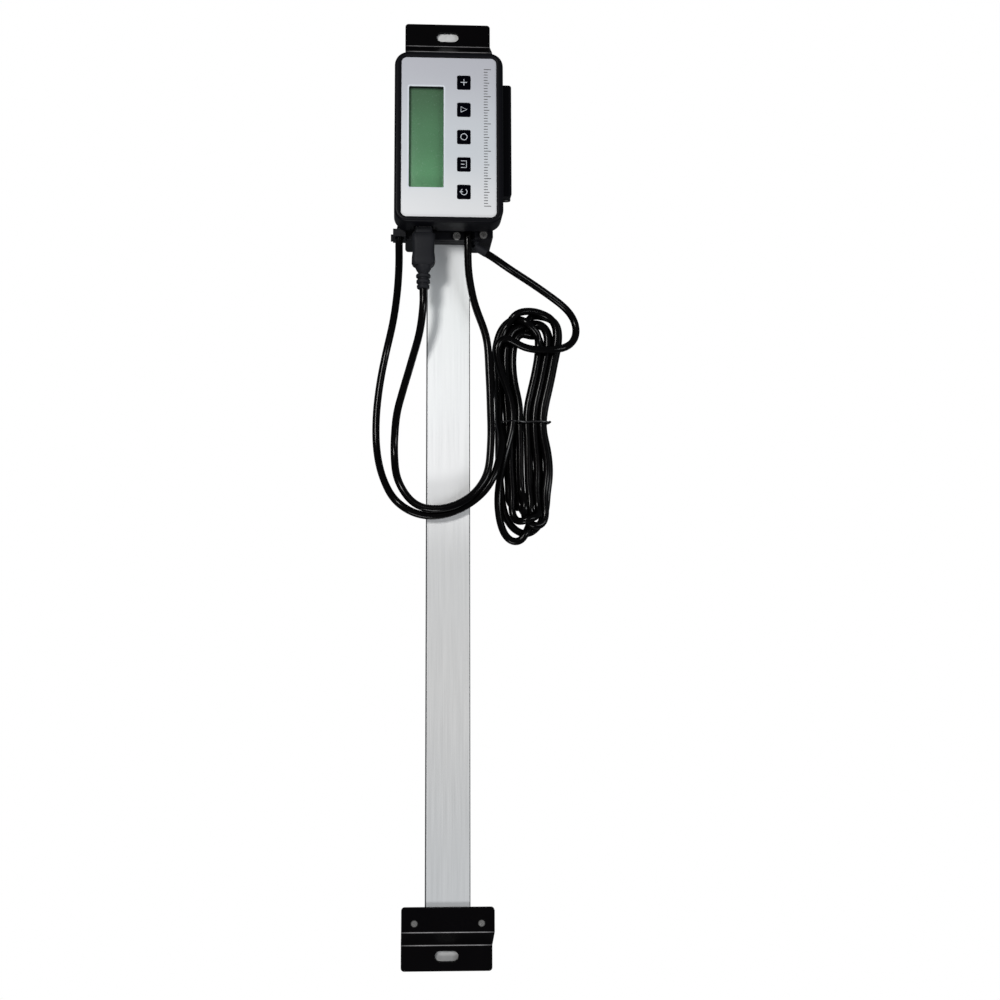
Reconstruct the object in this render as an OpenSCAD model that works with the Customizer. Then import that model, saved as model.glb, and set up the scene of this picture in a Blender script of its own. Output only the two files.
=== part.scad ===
// Linear scale with a sliding reader head and a remote digital readout.
// Lies on its mounting face: X across the beam, Y along it, Z away from the mounting face.
// The origin is midway between the two mounting slots, on the mounting face.

/* [Beam] */
// Width of the aluminium beam
beam_w = 19.5; // [18:0.5:30]
// Thickness of the beam
beam_t = 7; // [6:0.5:12]
// Length of the beam
beam_l = 390; // [280:5:700]
// Height of the beam above the mounting face
beam_gap = 5; // [4.5:0.25:12]
// Thickness of the bright cover strip on the beam
strip_t = 0.25; // [0.15:0.05:0.6]
// Width of the grating under the cover strip
grating_w = 12; // [8:0.5:15]
// Thickness of the grating
grating_t = 0.8; // [0.5:0.1:1.5]

/* [End brackets] */
// Width of an end bracket beyond each side of the beam
bracket_margin = 10.25; // [9:0.25:16]
// Sheet thickness of an end bracket
bracket_t = 1.4; // [1:0.1:2]
// Distance between the slot and the end of the foot
foot_end = 6.2; // [4:0.1:10]
// Length of the flat foot
foot_l = 10.9; // [9:0.1:16]
// Horizontal run of the sloping web
web_run = 9; // [6:0.5:14]
// Length of the flange on the beam
flange_l = 10.2; // [8:0.1:16]
// Length of the flange that the beam reaches under
seat_l = 8.9; // [6:0.1:10]
// Overall length of a mounting slot
slot_l = 10.3; // [8:0.1:14]
// Width of a mounting slot
slot_w = 4.6; // [3.4:0.1:5.6]
// Distance of a bracket screw from the beam's side
screw_margin = 4.65; // [3.5:0.05:6]
// Thickness of the clamp plate under the beam
clamp_t = 2; // [1.2:0.1:2.2]

/* [Reader head] */
// Length of the reader head
head_l = 70; // [66:1:90]
// Width of the reader head beyond each side of the beam
head_margin = 9.85; // [9.6:0.05:14]
// Distance between the head and the upper bracket at rest
head_stop = 10.9; // [2:0.1:60]
// Wall thickness of the head
head_wall = 3; // [2.6:0.1:4]
// Height of the head's inside above the beam strip
head_room = 5.85; // [5.6:0.05:9]
// Thickness of the head's lid
lid_t = 1.4; // [1:0.1:3]
// Thickness of the head's rear cover
rear_t = 3.2; // [2.4:0.1:3.4]
// Running gap around the beam
run_gap = 0.35; // [0.2:0.05:0.6]
// Spacing across of the tapped holes under the head
tap_x = 24; // [16:1:26]
// Spacing along of the tapped holes under the head
tap_y = 40; // [30:1:50]
// Diameter of the tapped holes under the head
tap_d = 3; // [2.5:0.5:4]

/* [Display] */
// Width of the display case
case_w = 47.6; // [46:0.2:60]
// Length of the display case
case_l = 77; // [76:0.5:95]
// Thickness of the display case
case_t = 12.6; // [12.2:0.1:16]
// Wall thickness of the display case
case_wall = 1.8; // [1.2:0.1:2]
// Corner radius of the display case
case_r = 6; // [4:0.5:8]
// Width of the rim around the face
rim_w = 3; // [2:0.1:4]
// Depth of the face below the rim
rim_h = 0.7; // [0.3:0.1:1.2]
// Width of the window
window_w = 15.2; // [12:0.2:16]
// Length of the window
window_l = 45.7; // [30:0.1:50]
// Width of a key
key_w = 5.8; // [4:0.1:6.4]
// Length of a key
key_l = 6.3; // [4:0.1:8]
// Spacing of the keys
key_pitch = 12.4; // [9:0.1:13]
// Travel of a key
key_travel = 0.5; // [0.3:0.1:0.5]
// Thickness of the display's base plate
base_t = 4; // [3.6:0.1:6]
// Length of the base plate and its hinge
base_l = 51.4; // [40:0.2:56]

/* [Cable] */
// Diameter of the cable
cable_d = 3.4; // [2.4:0.1:3.6]
// Length of the plug's grip
plug_l = 14.3; // [12:0.1:18]
// Width of the plug's grip
plug_w = 10.3; // [9:0.1:12]
// Thickness of the plug's grip
plug_t = 7.4; // [6:0.1:7.6]

/* [Hidden] */
$fn = 48;

e = 0.01;                    // overshoot of a cut past a face
fit = 0.1;                   // clearance between two pieces that are assembled
beam_top = beam_gap + beam_t;
face_z = beam_top + strip_t;
groove_z = beam_gap + beam_t / 2;
groove_d = 1.2;              // depth of the guide groove in the beam's side
groove_mouth = 1.6;          // half its opening
groove_floor = 0.5;          // half its floor
strip_inset = 0.4;           // bare beam beside the cover strip

bracket_w = beam_w + 2 * bracket_margin;
screw_x = beam_w / 2 + screw_margin;
slot_y = beam_l / 2 - seat_l + flange_l + web_run + foot_l - foot_end;
foot_tip = slot_y + foot_end;
foot_bend = foot_tip - foot_l;
flange_bend = foot_bend - web_run;
flange_tip = flange_bend - flange_l;
bracket_top = face_z + bracket_t;
bracket_screw_y = flange_tip + 6.6;
bracket_r = 1.5;             // corner radius of a bracket
m3 = 3;
m2 = 2;

head_w = beam_w + 2 * head_margin;
rear_top = beam_gap - run_gap - 0.05;
rear_z = rear_top - rear_t;
lid_z = face_z + head_room;
head_top = lid_z + lid_t;
head_y1 = flange_tip - head_stop;
head_y0 = head_y1 - head_l;
head_y = (head_y0 + head_y1) / 2;
head_in = head_w / 2 - head_wall;
boss_r = 3;
boss_x = head_in - boss_r;
boss_y = head_l / 2 - head_wall - boss_r;
lid_screw_x = head_w / 2 - 4.5;
lid_screw_y = head_l / 2 - 1.6;
mid_screw_x = 3.3;           // the lower middle lid screw stands beside the cable
pad_gap = 0.1;
pad_tip = 0.9;               // how far a pad reaches into the beam's groove
gib_x = beam_w / 2 + 2.6;    // back of the adjustable guide
clamp_w = 8.1;               // size of the block that holds the cable down on the head
clamp_h = 2.2;
gland_d = 4;
clip_w = 5.6;                // reach of the side clip past the head
clip_l = 3.4;

base_z = head_top;
case_z = base_z + base_t + 0.3;
case_x = -1;
case_y = head_y0 + 40.8;
case_top = case_z + case_t;
split_z = case_z + 6.6;      // where the two halves of the case meet
floor_t = 1.5;
board_t = 1.4;
board_z = split_z - board_t;
plate_z = case_top - rim_h - 0.4;    // outer face of the front plate, under the overlay
plate_t = 1.5;
overlay_t = 0.4;
overlay_w = case_w - 2 * rim_w;
overlay_l = case_l - 2 * rim_w + 1;
overlay_r = 2.4;
window_x = -9.9;
key_x = 6.55;
window_lip = 0.8;
window_t = 0.8;
boss_case_x = case_w / 2 - 5.3;
boss_case_y = case_l / 2 - 5.5;
cell_d = 20;
cell_t = 3.2;
cell_y = 22;                 // coin cell, from the middle of the case
door_w = 24;
door_y = 10.5;               // inner edge of the battery door, from the middle of the case
rail = 0.7;                  // tongue on each side of the battery door

hinge_r = 1.9;
hinge_x = case_x + case_w / 2 + 2.6;
hinge_z = base_z + 2.2;
hinge_y = case_y + 2.5;
hinge_pin_d = 1.4;
knuckles = 5;
knuckle_gap = 0.3;
knuckle_l = (base_l + knuckle_gap) / knuckles - knuckle_gap;
leaf_x0 = case_x + case_w / 2 - 1.5;
leaf_w = hinge_x + hinge_r - leaf_x0;
leaf_z0 = hinge_z + hinge_r + knuckle_gap;
leaf_z1 = case_z + 3.2;
base_x0 = -head_w / 2 + 0.6;
base_x1 = hinge_x - hinge_r - 1.2;
magnet_d = 10;
magnet_t = 1.9;

cable_r = cable_d / 2;
plug_x = case_x - 10.8;
plug_z = case_z + 3.4;
case_y0 = case_y - case_l / 2;
grip_y1 = case_y0 - 2.7;     // the bare part of the plug shows between the grip and the case
grip_y0 = grip_y1 - plug_l;
boot_l = 10.3;
boot_y0 = grip_y0 - boot_l;
shell_w = 6.9;
shell_t = 3;
shell_in = 8;                // how far the plug reaches past its grip

// The cable's own run. Each point is [x, distance below the head, z], chosen by hand so that the
// cable lies on the table, crosses above the brackets, and is held in the head's clip.
side = bracket_w / 2;
over = bracket_top + 0.55 + cable_r;
low = cable_r + 0.1;
on_lid = head_top + 0.1 + cable_r;
gland_root = [11.8, head_y0 - 1.5, over - 0.1];
gland_tip = [17, head_y0 - 4.8, over - 0.1];
clip_bore = [-head_w / 2 - 2.65, head_top + 1.4];
tail_end = 6;                // number of the point where the cable's stiff tail ends
hank_h = 7.2;
stub_z = hank_h + 0.15 + cable_r;
main_route = [[plug_x, head_y0 - boot_y0, plug_z], [plug_x, head_y0 - boot_y0 + 6.5, plug_z],
    [plug_x - 1.4, 43, plug_z - 3.2], [-side + 3.2, 56, over + 4], [-side - 0.4, 68, over + 0.5],
    [-side - 2.8, 77, over - 1.5], [-side - 3.8, 85, over - 3.7], [-side - 4, 97, over - 4.5],
    [-side - 2, 109, over - 0.1], [-14, 119, over], [-2, 120, over], [9, 115, over],
    [16.6, 106, over], [18.8, 91, over], [18.4, 75, over], [17, 59, over], [14.6, 43, over],
    [11.2, 28, over + 0.9], [8.6, 14, over + 3.2], [8.1, 1, on_lid], [7.2, -6.8, on_lid],
    [1.2, -13.2, on_lid], [-7.2, -15.4, on_lid], [-15.4, -13.2, on_lid],
    [clip_bore[0] + 1.4, -7.4, on_lid], [clip_bore[0] - 0.1, -0.6, clip_bore[1]],
    [-side - 2.4, 9, 17.4], [-side - 3.1, 21, 10.4], [-side - 5, 34, 5], [-side - 8.2, 48, low],
    [-side - 10.8, 62, low], [-side - 12.4, 78, low], [-side - 12, 93, low + 1.4],
    [-side - 8.8, 107, 9.4], [-side - 2.6, 118, over - 0.2], [-13, 123.8, over], [-2, 124, over],
    [9.5, 119.6, over], [18, 112, over], [side + 3.4, 101, over - 0.9], [side + 5.8, 90, 10.8],
    [side + 6, 84, stub_z], [side + 6, 82, stub_z]];
return_route = [[gland_tip[0], 4.8, gland_tip[2]], [gland_tip[0] + 7.8, 9.75, gland_tip[2]],
    [37, 15.8, 10.4], [48.6, 21.8, 5], [57, 28, low + 0.2],
    [60.6, 36, low + 0.7], [59, 42.4, 5.2], [54.8, 45.4, 9.4], [45, 46.4, 9.8],
    [side + 16, 45, stub_z + 0.1], [side + 11, 44.7, stub_z], [side + 7.5, 44.7, stub_z]];
hank_lobes = [[side + 18.2, 42.7, 15.4], [side + 14.3, 80, 11.8], [side + 15.6, 102, 13],
    [side + 14.2, 125, 11.5]];
tie_y = head_y0 - 80;
tie_t = 0.9;
tie_w = 1.1;

black = [0.055, 0.055, 0.062];
soft_black = [0.13, 0.13, 0.145];
silver = [0.80, 0.81, 0.83];
steel = [0.62, 0.63, 0.65];
pcb_green = [0.07, 0.30, 0.16];

// --- shapes -------------------------------------------------------------------------------

// a flat rounded rectangle, centred
module rounded(w, l, r) {
    square([w - 2 * r, l], center = true);
    square([w, l - 2 * r], center = true);
    for (x = [-1, 1], y = [-1, 1])
        translate([x * (w / 2 - r), y * (l / 2 - r)]) circle(r);
}

module rounded_block(w, l, r, z0, z1) {
    translate([0, 0, z0]) linear_extrude(z1 - z0) rounded(w, l, r);
}

module block(x0, x1, y0, y1, z0, z1) {
    translate([x0, y0, z0]) cube([x1 - x0, y1 - y0, z1 - z0]);
}

// a bar of the given profile, drawn in X and Z, lying along Y
module bar(y0, y1) {
    translate([0, y1, 0]) rotate([90, 0, 0]) linear_extrude(y1 - y0) children();
}

module rod(d, z0, z1) {
    translate([0, 0, z0]) cylinder(d = d, h = z1 - z0);
}

// a pan-head screw standing head up, with a cross slot; top is the underside of the head
module pan_screw(d, head_d, head_h, top, tip) {
    difference() {
        union() {
            rod(head_d, top, top + head_h);
            rod(d, tip, top + e);
        }
        for (a = [0, 90]) rotate(a)
            block(-head_d * 0.3, head_d * 0.3, -d * 0.12, d * 0.12, top + head_h * 0.45, top + head_h + e);
    }
}

function mix(a, b, t) = a + (b - a) * t;
function unit(v) = v / norm(v);

// a smooth curve through the points of a route, at u from 0 to the last point's number
function on_curve(p, u) =
    let (i = min(floor(u), len(p) - 2), t = u - i,
        a = i == 0 ? 2 * p[0] - p[1] : p[i - 1], b = p[i], c = p[i + 1],
        d = i + 2 > len(p) - 1 ? 2 * p[i + 1] - p[i] : p[i + 2])
    0.5 * (2 * b + (c - a) * t + (2 * a - 5 * b + 4 * c - d) * t * t
        + (3 * b - a - 3 * c + d) * t * t * t);
function heading(p, u) =
    let (h = 0.02, last = len(p) - 1)
    unit(on_curve(p, min(last, u + h)) - on_curve(p, max(0, u - h)));

// the route in the part's frame
function placed(route) = [for (p = route) [p[0], head_y0 - p[1], p[2]]];

// a closed tube of round section swept along a route, from its point number u0 to number u1
module swept(route, r, rings, u0, u1, sides = 8) {
    points = [for (k = [0 : rings - 1])
        let (u = mix(u0, u1, k / (rings - 1)), c = on_curve(route, u), t = heading(route, u),
            across = unit(cross(t, [0, 0, 1])), up = cross(across, t))
        for (s = [0 : sides - 1])
            c + r * (cos(360 * s / sides) * across + sin(360 * s / sides) * up)];
    walls = [for (k = [0 : rings - 2], s = [0 : sides - 1])
        let (a = k * sides + s, b = k * sides + (s + 1) % sides)
        each [[a, b, b + sides], [a, b + sides, a + sides]]];
    near_end = [for (s = [1 : sides - 2]) [0, s + 1, s]];
    far = (rings - 1) * sides;
    far_end = [for (s = [1 : sides - 2]) [far, far + s, far + s + 1]];
    polyhedron(points, concat(walls, near_end, far_end), convexity = 6);
}

// two circles [x, y, r] and the band between their outer tangents
module lobe_pair(p, q) {
    d = [q[0] - p[0], q[1] - p[1]];
    reach = norm(d);
    along = atan2(d[1], d[0]);
    lean = acos((p[2] - q[2]) / reach);
    polygon([for (c = [[p, lean], [q, lean], [q, -lean], [p, -lean]])
        [c[0][0] + c[0][2] * cos(along + c[1]), c[0][1] + c[0][2] * sin(along + c[1])]]);
    translate([p[0], p[1]]) circle(p[2]);
    translate([q[0], q[1]]) circle(q[2]);
}

// --- beam and end brackets ----------------------------------------------------------------

module scale_beam() {
    color(silver) difference() {
        bar(-beam_l / 2, beam_l / 2) {
            polygon(concat(
                [for (p = beam_outline()) p],
                [for (i = [len(beam_outline()) - 1 : -1 : 0]) [-beam_outline()[i][0], beam_outline()[i][1]]]));
        }
        block(-grating_w / 2 - fit, grating_w / 2 + fit, -beam_l / 2 - e, beam_l / 2 + e,
            beam_top - grating_t, beam_top + e);
    }
}

function beam_outline() =
    let (half = beam_w / 2, chamfer = 0.5)
    [[half - chamfer, beam_gap], [half, beam_gap + chamfer], [half, groove_z - groove_mouth],
        [half - groove_d, groove_z - groove_floor], [half - groove_d, groove_z + groove_floor],
        [half, groove_z + groove_mouth], [half, beam_top - strip_inset],
        [half - strip_inset, beam_top]];

module grating_strip() {
    color("goldenrod")
        block(-grating_w / 2, grating_w / 2, -beam_l / 2, beam_l / 2, beam_top - grating_t, beam_top);
}

module beam_face_strip() {
    color(silver)
        block(-beam_w / 2 + strip_inset, beam_w / 2 - strip_inset, -beam_l / 2, beam_l / 2,
            beam_top, face_z);
}

module end_bracket() {
    mitre = bracket_t * tan(atan2(face_z, web_run) / 2);
    profile = [[flange_tip, face_z], [flange_bend - mitre, face_z], [foot_bend - mitre, 0],
        [foot_tip, 0], [foot_tip, bracket_t], [foot_bend, bracket_t], [flange_bend, bracket_top],
        [flange_tip, bracket_top]];
    color(black) difference() {
        intersection() {
            translate([-bracket_w / 2, 0, 0]) rotate([90, 0, 90]) linear_extrude(bracket_w)
                polygon(profile);
            translate([0, (flange_tip + foot_tip) / 2, 0])
                rounded_block(bracket_w, foot_tip - flange_tip, bracket_r, -1, bracket_top + 1);
        }
        translate([0, slot_y, -e]) linear_extrude(bracket_t + 2 * e) {
            square([slot_l - slot_w, slot_w], center = true);
            for (x = [-1, 1]) translate([x * (slot_l - slot_w) / 2, 0]) circle(d = slot_w);
        }
        for (x = [-1, 1]) translate([x * screw_x, bracket_screw_y, 0])
            rod(m3 + fit, face_z - e, bracket_top + e);
    }
}

module upper_end_bracket() { end_bracket(); }

module lower_end_bracket() { mirror([0, 1, 0]) end_bracket(); }

module clamp_plate() {
    color(steel) difference() {
        translate([0, bracket_screw_y, 0])
            rounded_block(2 * (screw_x + 3.2), seat_l - 2.7, 1, beam_gap - clamp_t, beam_gap);
        for (x = [-1, 1]) translate([x * screw_x, bracket_screw_y, 0])
            rod(m3 + fit, beam_gap - clamp_t - e, beam_gap + e);
    }
}

module upper_clamp_plate() { clamp_plate(); }

module lower_clamp_plate() { mirror([0, 1, 0]) clamp_plate(); }

module bracket_screws() {
    head_h = 1.4;
    color(steel) for (s = [-1, 1], x = [-1, 1])
        translate([x * screw_x, s * bracket_screw_y, 0]) difference() {
            union() {
                rod(5, beam_gap - clamp_t - head_h, beam_gap - clamp_t);
                rod(m3, beam_gap - clamp_t - e, bracket_top - 0.3);
                translate([0, 0, bracket_top - 0.3 - e]) cylinder(d1 = m3, d2 = m3 - 0.6, h = 0.3 + e);
            }
            translate([0, 0, bracket_top - 0.35]) cylinder(d1 = 0.2, d2 = 1.1, h = 0.35 + e);
        }
}

// --- reader head --------------------------------------------------------------------------

module beam_opening(y0, y1) {
    block(-beam_w / 2 - run_gap, beam_w / 2 + run_gap, y0, y1, rear_top - e, face_z + run_gap);
}

module head_housing() {
    color(black) translate([0, head_y, 0]) difference() {
        union() {
            difference() {
                rounded_block(head_w, head_l, 1.5, rear_top, lid_z);
                rounded_block(2 * head_in, head_l - 2 * head_wall, 0.8, rear_top - e, lid_z + e);
            }
            for (x = [-1, 1], y = [-1, 1]) {
                translate([x * boss_x, y * boss_y, 0]) rod(2 * boss_r, rear_top, lid_z);
                block(x > 0 ? boss_x : -head_in - 0.5, x > 0 ? head_in + 0.5 : -boss_x,
                    y > 0 ? boss_y - boss_r : -head_l / 2 + head_wall - 0.5,
                    y > 0 ? head_l / 2 - head_wall + 0.5 : -boss_y + boss_r, rear_top, lid_z);
            }
        }
        beam_opening(-head_l / 2 - e, -head_l / 2 + head_wall + e);
        beam_opening(head_l / 2 - head_wall - e, head_l / 2 + e);
        for (x = [-1, 1], y = [-1, 1]) translate([x * boss_x, y * boss_y, 0])
            rod(m2, rear_top - e, rear_top + 7.2);
        for (p = lid_screw_places()) translate([p[0], p[1], 0]) rod(m2, lid_z - 4.6, lid_z + e);
        for (y = gib_screw_places()) translate([0, y, groove_z]) rotate([0, 90, 0])
            rod(m3, head_in - 1, head_w / 2 + e);
        translate([gland_root[0], 0, gland_root[2]]) rotate([90, 0, 0])
            rod(gland_d + 0.2, head_l / 2 - head_wall - e, head_l / 2 + e);
        translate([0, clip_y(), clip_screw_z()]) rotate([0, -90, 0])
            rod(m2, head_in + 0.1, head_w / 2 + e);
        translate([0, 0, lid_z - 1]) difference() {
            rounded_block(head_w + 1, head_l + 1, 1.5, 0, 0.4);
            rounded_block(head_w - 0.8, head_l - 0.8, 1.2, -e, 0.4 + e);
        }
    }
}

function lid_screw_places() = [[-lid_screw_x, -lid_screw_y], [mid_screw_x, -lid_screw_y],
    [-lid_screw_x, lid_screw_y], [lid_screw_x, lid_screw_y], [lid_screw_x, -lid_screw_y]];
function gib_screw_places() = [-head_l / 5, head_l / 5];
function clip_y() = -head_l / 2 + 1.7;
function clip_screw_z() = lid_z - 2.3;

module head_lid() {
    color(black) translate([0, head_y, 0]) {
        difference() {
            rounded_block(head_w, head_l, 1.5, lid_z, head_top);
            for (p = lid_screw_places()) translate([p[0], p[1], 0])
                rod(m2 + fit, lid_z - e, head_top + e);
        }
        for (x = [-1, 1], y = [-1, 1]) translate([x * 12, y * 18, 0])
            rod(3, lid_z - head_room + 3.4, lid_z + e);
    }
}

module lid_screws() {
    color(steel) translate([0, head_y, 0])
        for (i = [0 : 3]) translate([lid_screw_places()[i][0], lid_screw_places()[i][1], 0])
            pan_screw(m2, 3.4, 1.1, head_top, lid_z - 4.2);
}

module head_rear_cover() {
    color(black) translate([0, head_y, 0]) difference() {
        rounded_block(head_w, head_l, 1.5, rear_z, rear_top);
        for (x = [-1, 1], y = [-1, 1]) {
            translate([x * tap_x / 2, y * tap_y / 2, 0]) rod(tap_d, rear_z - e, rear_top + e);
            translate([x * boss_x, y * boss_y, 0]) {
                rod(m2 + fit, rear_z - e, rear_top + e);
                rod(4, rear_z - e, rear_z + 1.3);
            }
        }
    }
}

module rear_cover_screws() {
    color(steel) translate([0, head_y, 0]) for (x = [-1, 1], y = [-1, 1])
        translate([x * boss_x, y * boss_y, 0]) difference() {
            union() {
                rod(3.8, rear_z + 0.1, rear_z + 1.3);
                rod(m2, rear_z + 1.3 - e, rear_top + 6.8);
            }
            rod(1.3, rear_z, rear_z + 0.7);
        }
}

module reader_board() {
    z0 = lid_z - head_room + 2.2;
    color(pcb_green) translate([0, head_y, 0])
        rounded_block(2 * head_in - 3, 2 * (boss_y - boss_r) - 4, 0.6, z0, z0 + 1.2);
}

module reader_sensor() {
    z0 = lid_z - head_room + 0.5;
    color(soft_black) translate([0, head_y, 0])
        rounded_block(grating_w + 1, 26, 0.5, z0, lid_z - head_room + 2.2);
}

module end_wipers() {
    color("dimgray") translate([0, head_y, 0]) for (s = [-1, 1]) {
        y = s * (head_l / 2 - head_wall);
        block(-beam_w / 2, beam_w / 2, min(y, y - s * 1.8), max(y, y - s * 1.8), face_z + 0.3, face_z + 3);
    }
}

// a guide that runs in the groove of the beam's side; it faces -X and starts at x0
module guide(x0, l) {
    tip = beam_w / 2 - pad_tip;
    flat = beam_w / 2 + pad_gap;
    bar(-l / 2, l / 2) polygon([[x0, groove_z - 2.2], [flat, groove_z - 2.2],
        [flat, groove_z - 1.1], [tip, groove_z - 0.4], [tip, groove_z + 0.4],
        [flat, groove_z + 1.1], [flat, groove_z + 2.2], [x0, groove_z + 2.2]]);
}

module slide_pads() {
    color("ivory") translate([0, head_y, 0]) mirror([1, 0, 0])
        for (y = [-1, 1]) translate([0, y * head_l / 5, 0]) guide(head_in, 12);
}

module gib_strip() {
    color("ivory") translate([0, head_y, 0]) guide(gib_x, 2 * (boss_y - boss_r) - 4);
}

module gib_screws() {
    color(steel) translate([0, head_y, 0])
        for (y = gib_screw_places()) translate([0, y, groove_z]) rotate([0, 90, 0]) difference() {
            rod(m3, gib_x, head_w / 2 - 0.3);
            translate([0, 0, head_w / 2 - 1.6]) cylinder(d = 1.7, h = 2, $fn = 6);
        }
}

// --- cable fittings on the head -----------------------------------------------------------

module cable_clamp() {
    x0 = head_w / 2 - 0.2 - clamp_w;
    color(black) translate([0, head_y, 0]) difference() {
        translate([x0 + clamp_w / 2, -head_l / 2 + 2.65, 0])
            rounded_block(clamp_w, 5.3, 0.7, head_top, head_top + clamp_h);
        translate([lid_screw_x, -lid_screw_y, 0]) rod(m2 + fit, head_top - e, head_top + clamp_h + e);
    }
}

module clamp_screw() {
    color(steel) translate([lid_screw_x, head_y - lid_screw_y, 0])
        pan_screw(m2, 3.4, 1.1, head_top + clamp_h, lid_z - 4.2);
}

module cable_gland() {
    run = gland_tip - gland_root;
    color(soft_black) {
        translate([gland_root[0], 0, gland_root[2]]) rotate([90, 0, 0])
            rod(gland_d, -head_y0 - head_wall, -gland_root[1]);
        translate(gland_root) {
            sphere(d = gland_d);
            rotate([0, 90, atan2(run[1], run[0])])
                cylinder(d1 = gland_d, d2 = cable_d + 0.3, h = norm(run));
        }
    }
}

module cable_clip() {
    reach = head_w / 2 + clip_w;
    color(black) difference() {
        block(-reach, -head_w / 2, head_y0, head_y0 + clip_l, lid_z - 3.9, base_z + base_t);
        translate([clip_bore[0], head_y0 - e, clip_bore[1]]) rotate([-90, 0, 0])
            rod(cable_d + 0.9, 0, clip_l + 2 * e);
        translate([0, head_y + clip_y(), clip_screw_z()]) rotate([0, -90, 0])
            rod(m2 + fit, head_w / 2 - e, reach + e);
    }
}

module clip_screw() {
    color(steel) translate([0, head_y + clip_y(), clip_screw_z()]) rotate([0, -90, 0])
        pan_screw(m2, 3.2, 1, head_w / 2 + clip_w, head_in + 0.2);
}

// --- display base plate and hinge ---------------------------------------------------------

function knuckle_y(i) = hinge_y - base_l / 2 + i * (knuckle_l + knuckle_gap);
function magnet_places() = [for (x = [-11, 11], y = [-15, 15]) [x, hinge_y + y]];

module hinge_bore(d) {
    translate([hinge_x, hinge_y + base_l / 2 + 1, hinge_z]) rotate([90, 0, 0])
        cylinder(d = d, h = base_l + 2);
}

module barrel(i) {
    translate([hinge_x, knuckle_y(i) + knuckle_l, hinge_z]) rotate([90, 0, 0])
        cylinder(r = hinge_r, h = knuckle_l);
}

module display_base_plate() {
    plate_w = base_x1 - base_x0;
    color(black) difference() {
        union() {
            translate([base_x0 + plate_w / 2, hinge_y, 0])
                rounded_block(plate_w, base_l, 2, base_z, base_z + base_t);
            for (i = [0 : 2 : knuckles - 1]) {
                barrel(i);
                block(base_x1 - 3, hinge_x, knuckle_y(i), knuckle_y(i) + knuckle_l,
                    hinge_z - hinge_r, hinge_z - 0.3);
            }
        }
        hinge_bore(hinge_pin_d);
        for (p = magnet_places()) translate([p[0], p[1], 0])
            rod(magnet_d, base_z - e, base_z + magnet_t);
        for (p = lid_screw_places()) translate([p[0], head_y + p[1], 0])
            rod(4.4, base_z - e, base_z + 1.5);
    }
}

module base_magnets() {
    color("lightgray") for (p = magnet_places()) translate([p[0], p[1], 0])
        rod(magnet_d, base_z, base_z + magnet_t);
}

module hinge_pin() {
    color(steel) translate([hinge_x, hinge_y + base_l / 2, hinge_z]) rotate([90, 0, 0])
        cylinder(d = hinge_pin_d, h = base_l);
}

// --- display ------------------------------------------------------------------------------

module at_case() { translate([case_x, case_y, 0]) children(); }

function case_bosses() = [for (x = [-1, 1], y = [-1, 1]) [x * boss_case_x, y * boss_case_y]];
function key_places() = [for (i = [-2 : 2]) [key_x, i * key_pitch]];

module socket_cut(w, t, depth) {
    block(plug_x - case_x - w / 2, plug_x - case_x + w / 2, -case_l / 2 - e, -case_l / 2 + depth,
        plug_z - t / 2, plug_z + t / 2);
}

module hinge_leaf() {
    translate([leaf_x0 + leaf_w / 2, hinge_y, 0]) rounded_block(leaf_w, base_l, 1.2, leaf_z0, leaf_z1);
}

module display_rear_case() {
    inner = case_w - 2 * case_wall;
    color(black) difference() {
        union() {
            at_case() difference() {
                union() {
                    difference() {
                        rounded_block(case_w, case_l, case_r, case_z + 0.8, split_z);
                        rounded_block(inner, case_l - 2 * case_wall, case_r - case_wall,
                            case_z + floor_t, split_z + e);
                    }
                    rounded_block(case_w - 1.6, case_l - 1.6, case_r - 0.8, case_z, case_z + floor_t);
                    for (p = case_bosses()) translate([p[0], p[1], 0])
                        rod(5, case_z + floor_t - e, board_z);
                }
                block(-door_w / 2 - fit, door_w / 2 + fit, door_y, case_l / 2 + e, case_z - e,
                    case_z + floor_t + e);
                block(-door_w / 2 - rail - fit, door_w / 2 + rail + fit, door_y, case_l / 2 + e,
                    case_z + 0.5, case_z + 1.2);
                for (p = case_bosses()) translate([p[0], p[1], 0]) {
                    rod(m2 + fit, case_z - e, board_z + e);
                    rod(3.8, case_z - e, case_z + 1.2);
                }
                socket_cut(8.6, 4.4, case_wall + e);
                socket_cut(12, 5.6, 0.5);
            }
            for (i = [1 : 2 : knuckles - 2]) {
                barrel(i);
                block(hinge_x - hinge_r, hinge_x + hinge_r, knuckle_y(i), knuckle_y(i) + knuckle_l,
                    hinge_z, leaf_z0 + e);
            }
            hinge_leaf();
        }
        hinge_bore(hinge_pin_d + 0.1);
    }
}

module display_front_case() {
    inner = case_w - 2 * case_wall;
    color(black) at_case() difference() {
        union() {
            rounded_block(case_w, case_l, case_r, split_z, case_top - 0.8);
            rounded_block(case_w - 0.8, case_l - 0.8, case_r - 0.4, case_top - 0.8 - e, case_top - 0.4);
            rounded_block(case_w - 2, case_l - 2, case_r - 1, case_top - 0.4 - e, case_top);
        }
        difference() {
            rounded_block(inner, case_l - 2 * case_wall, case_r - case_wall, split_z - e,
                plate_z - plate_t);
            for (p = case_bosses()) translate([p[0], p[1], 0]) rod(5, split_z - 2 * e, plate_z);
        }
        rounded_block(overlay_w + 2 * fit, overlay_l + 2 * fit, overlay_r, plate_z, case_top + e);
        translate([window_x, 0, 0])
            rounded_block(window_w, window_l, 0.5, plate_z - plate_t - e, plate_z + e);
        for (p = key_places()) translate([p[0], p[1], 0])
            rounded_block(key_w + 2 * fit, key_l + 2 * fit, 0.7, plate_z - plate_t - e, plate_z + e);
        for (p = case_bosses()) translate([p[0], p[1], 0]) rod(m2, split_z - 2 * e, split_z + 3);
    }
}

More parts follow.
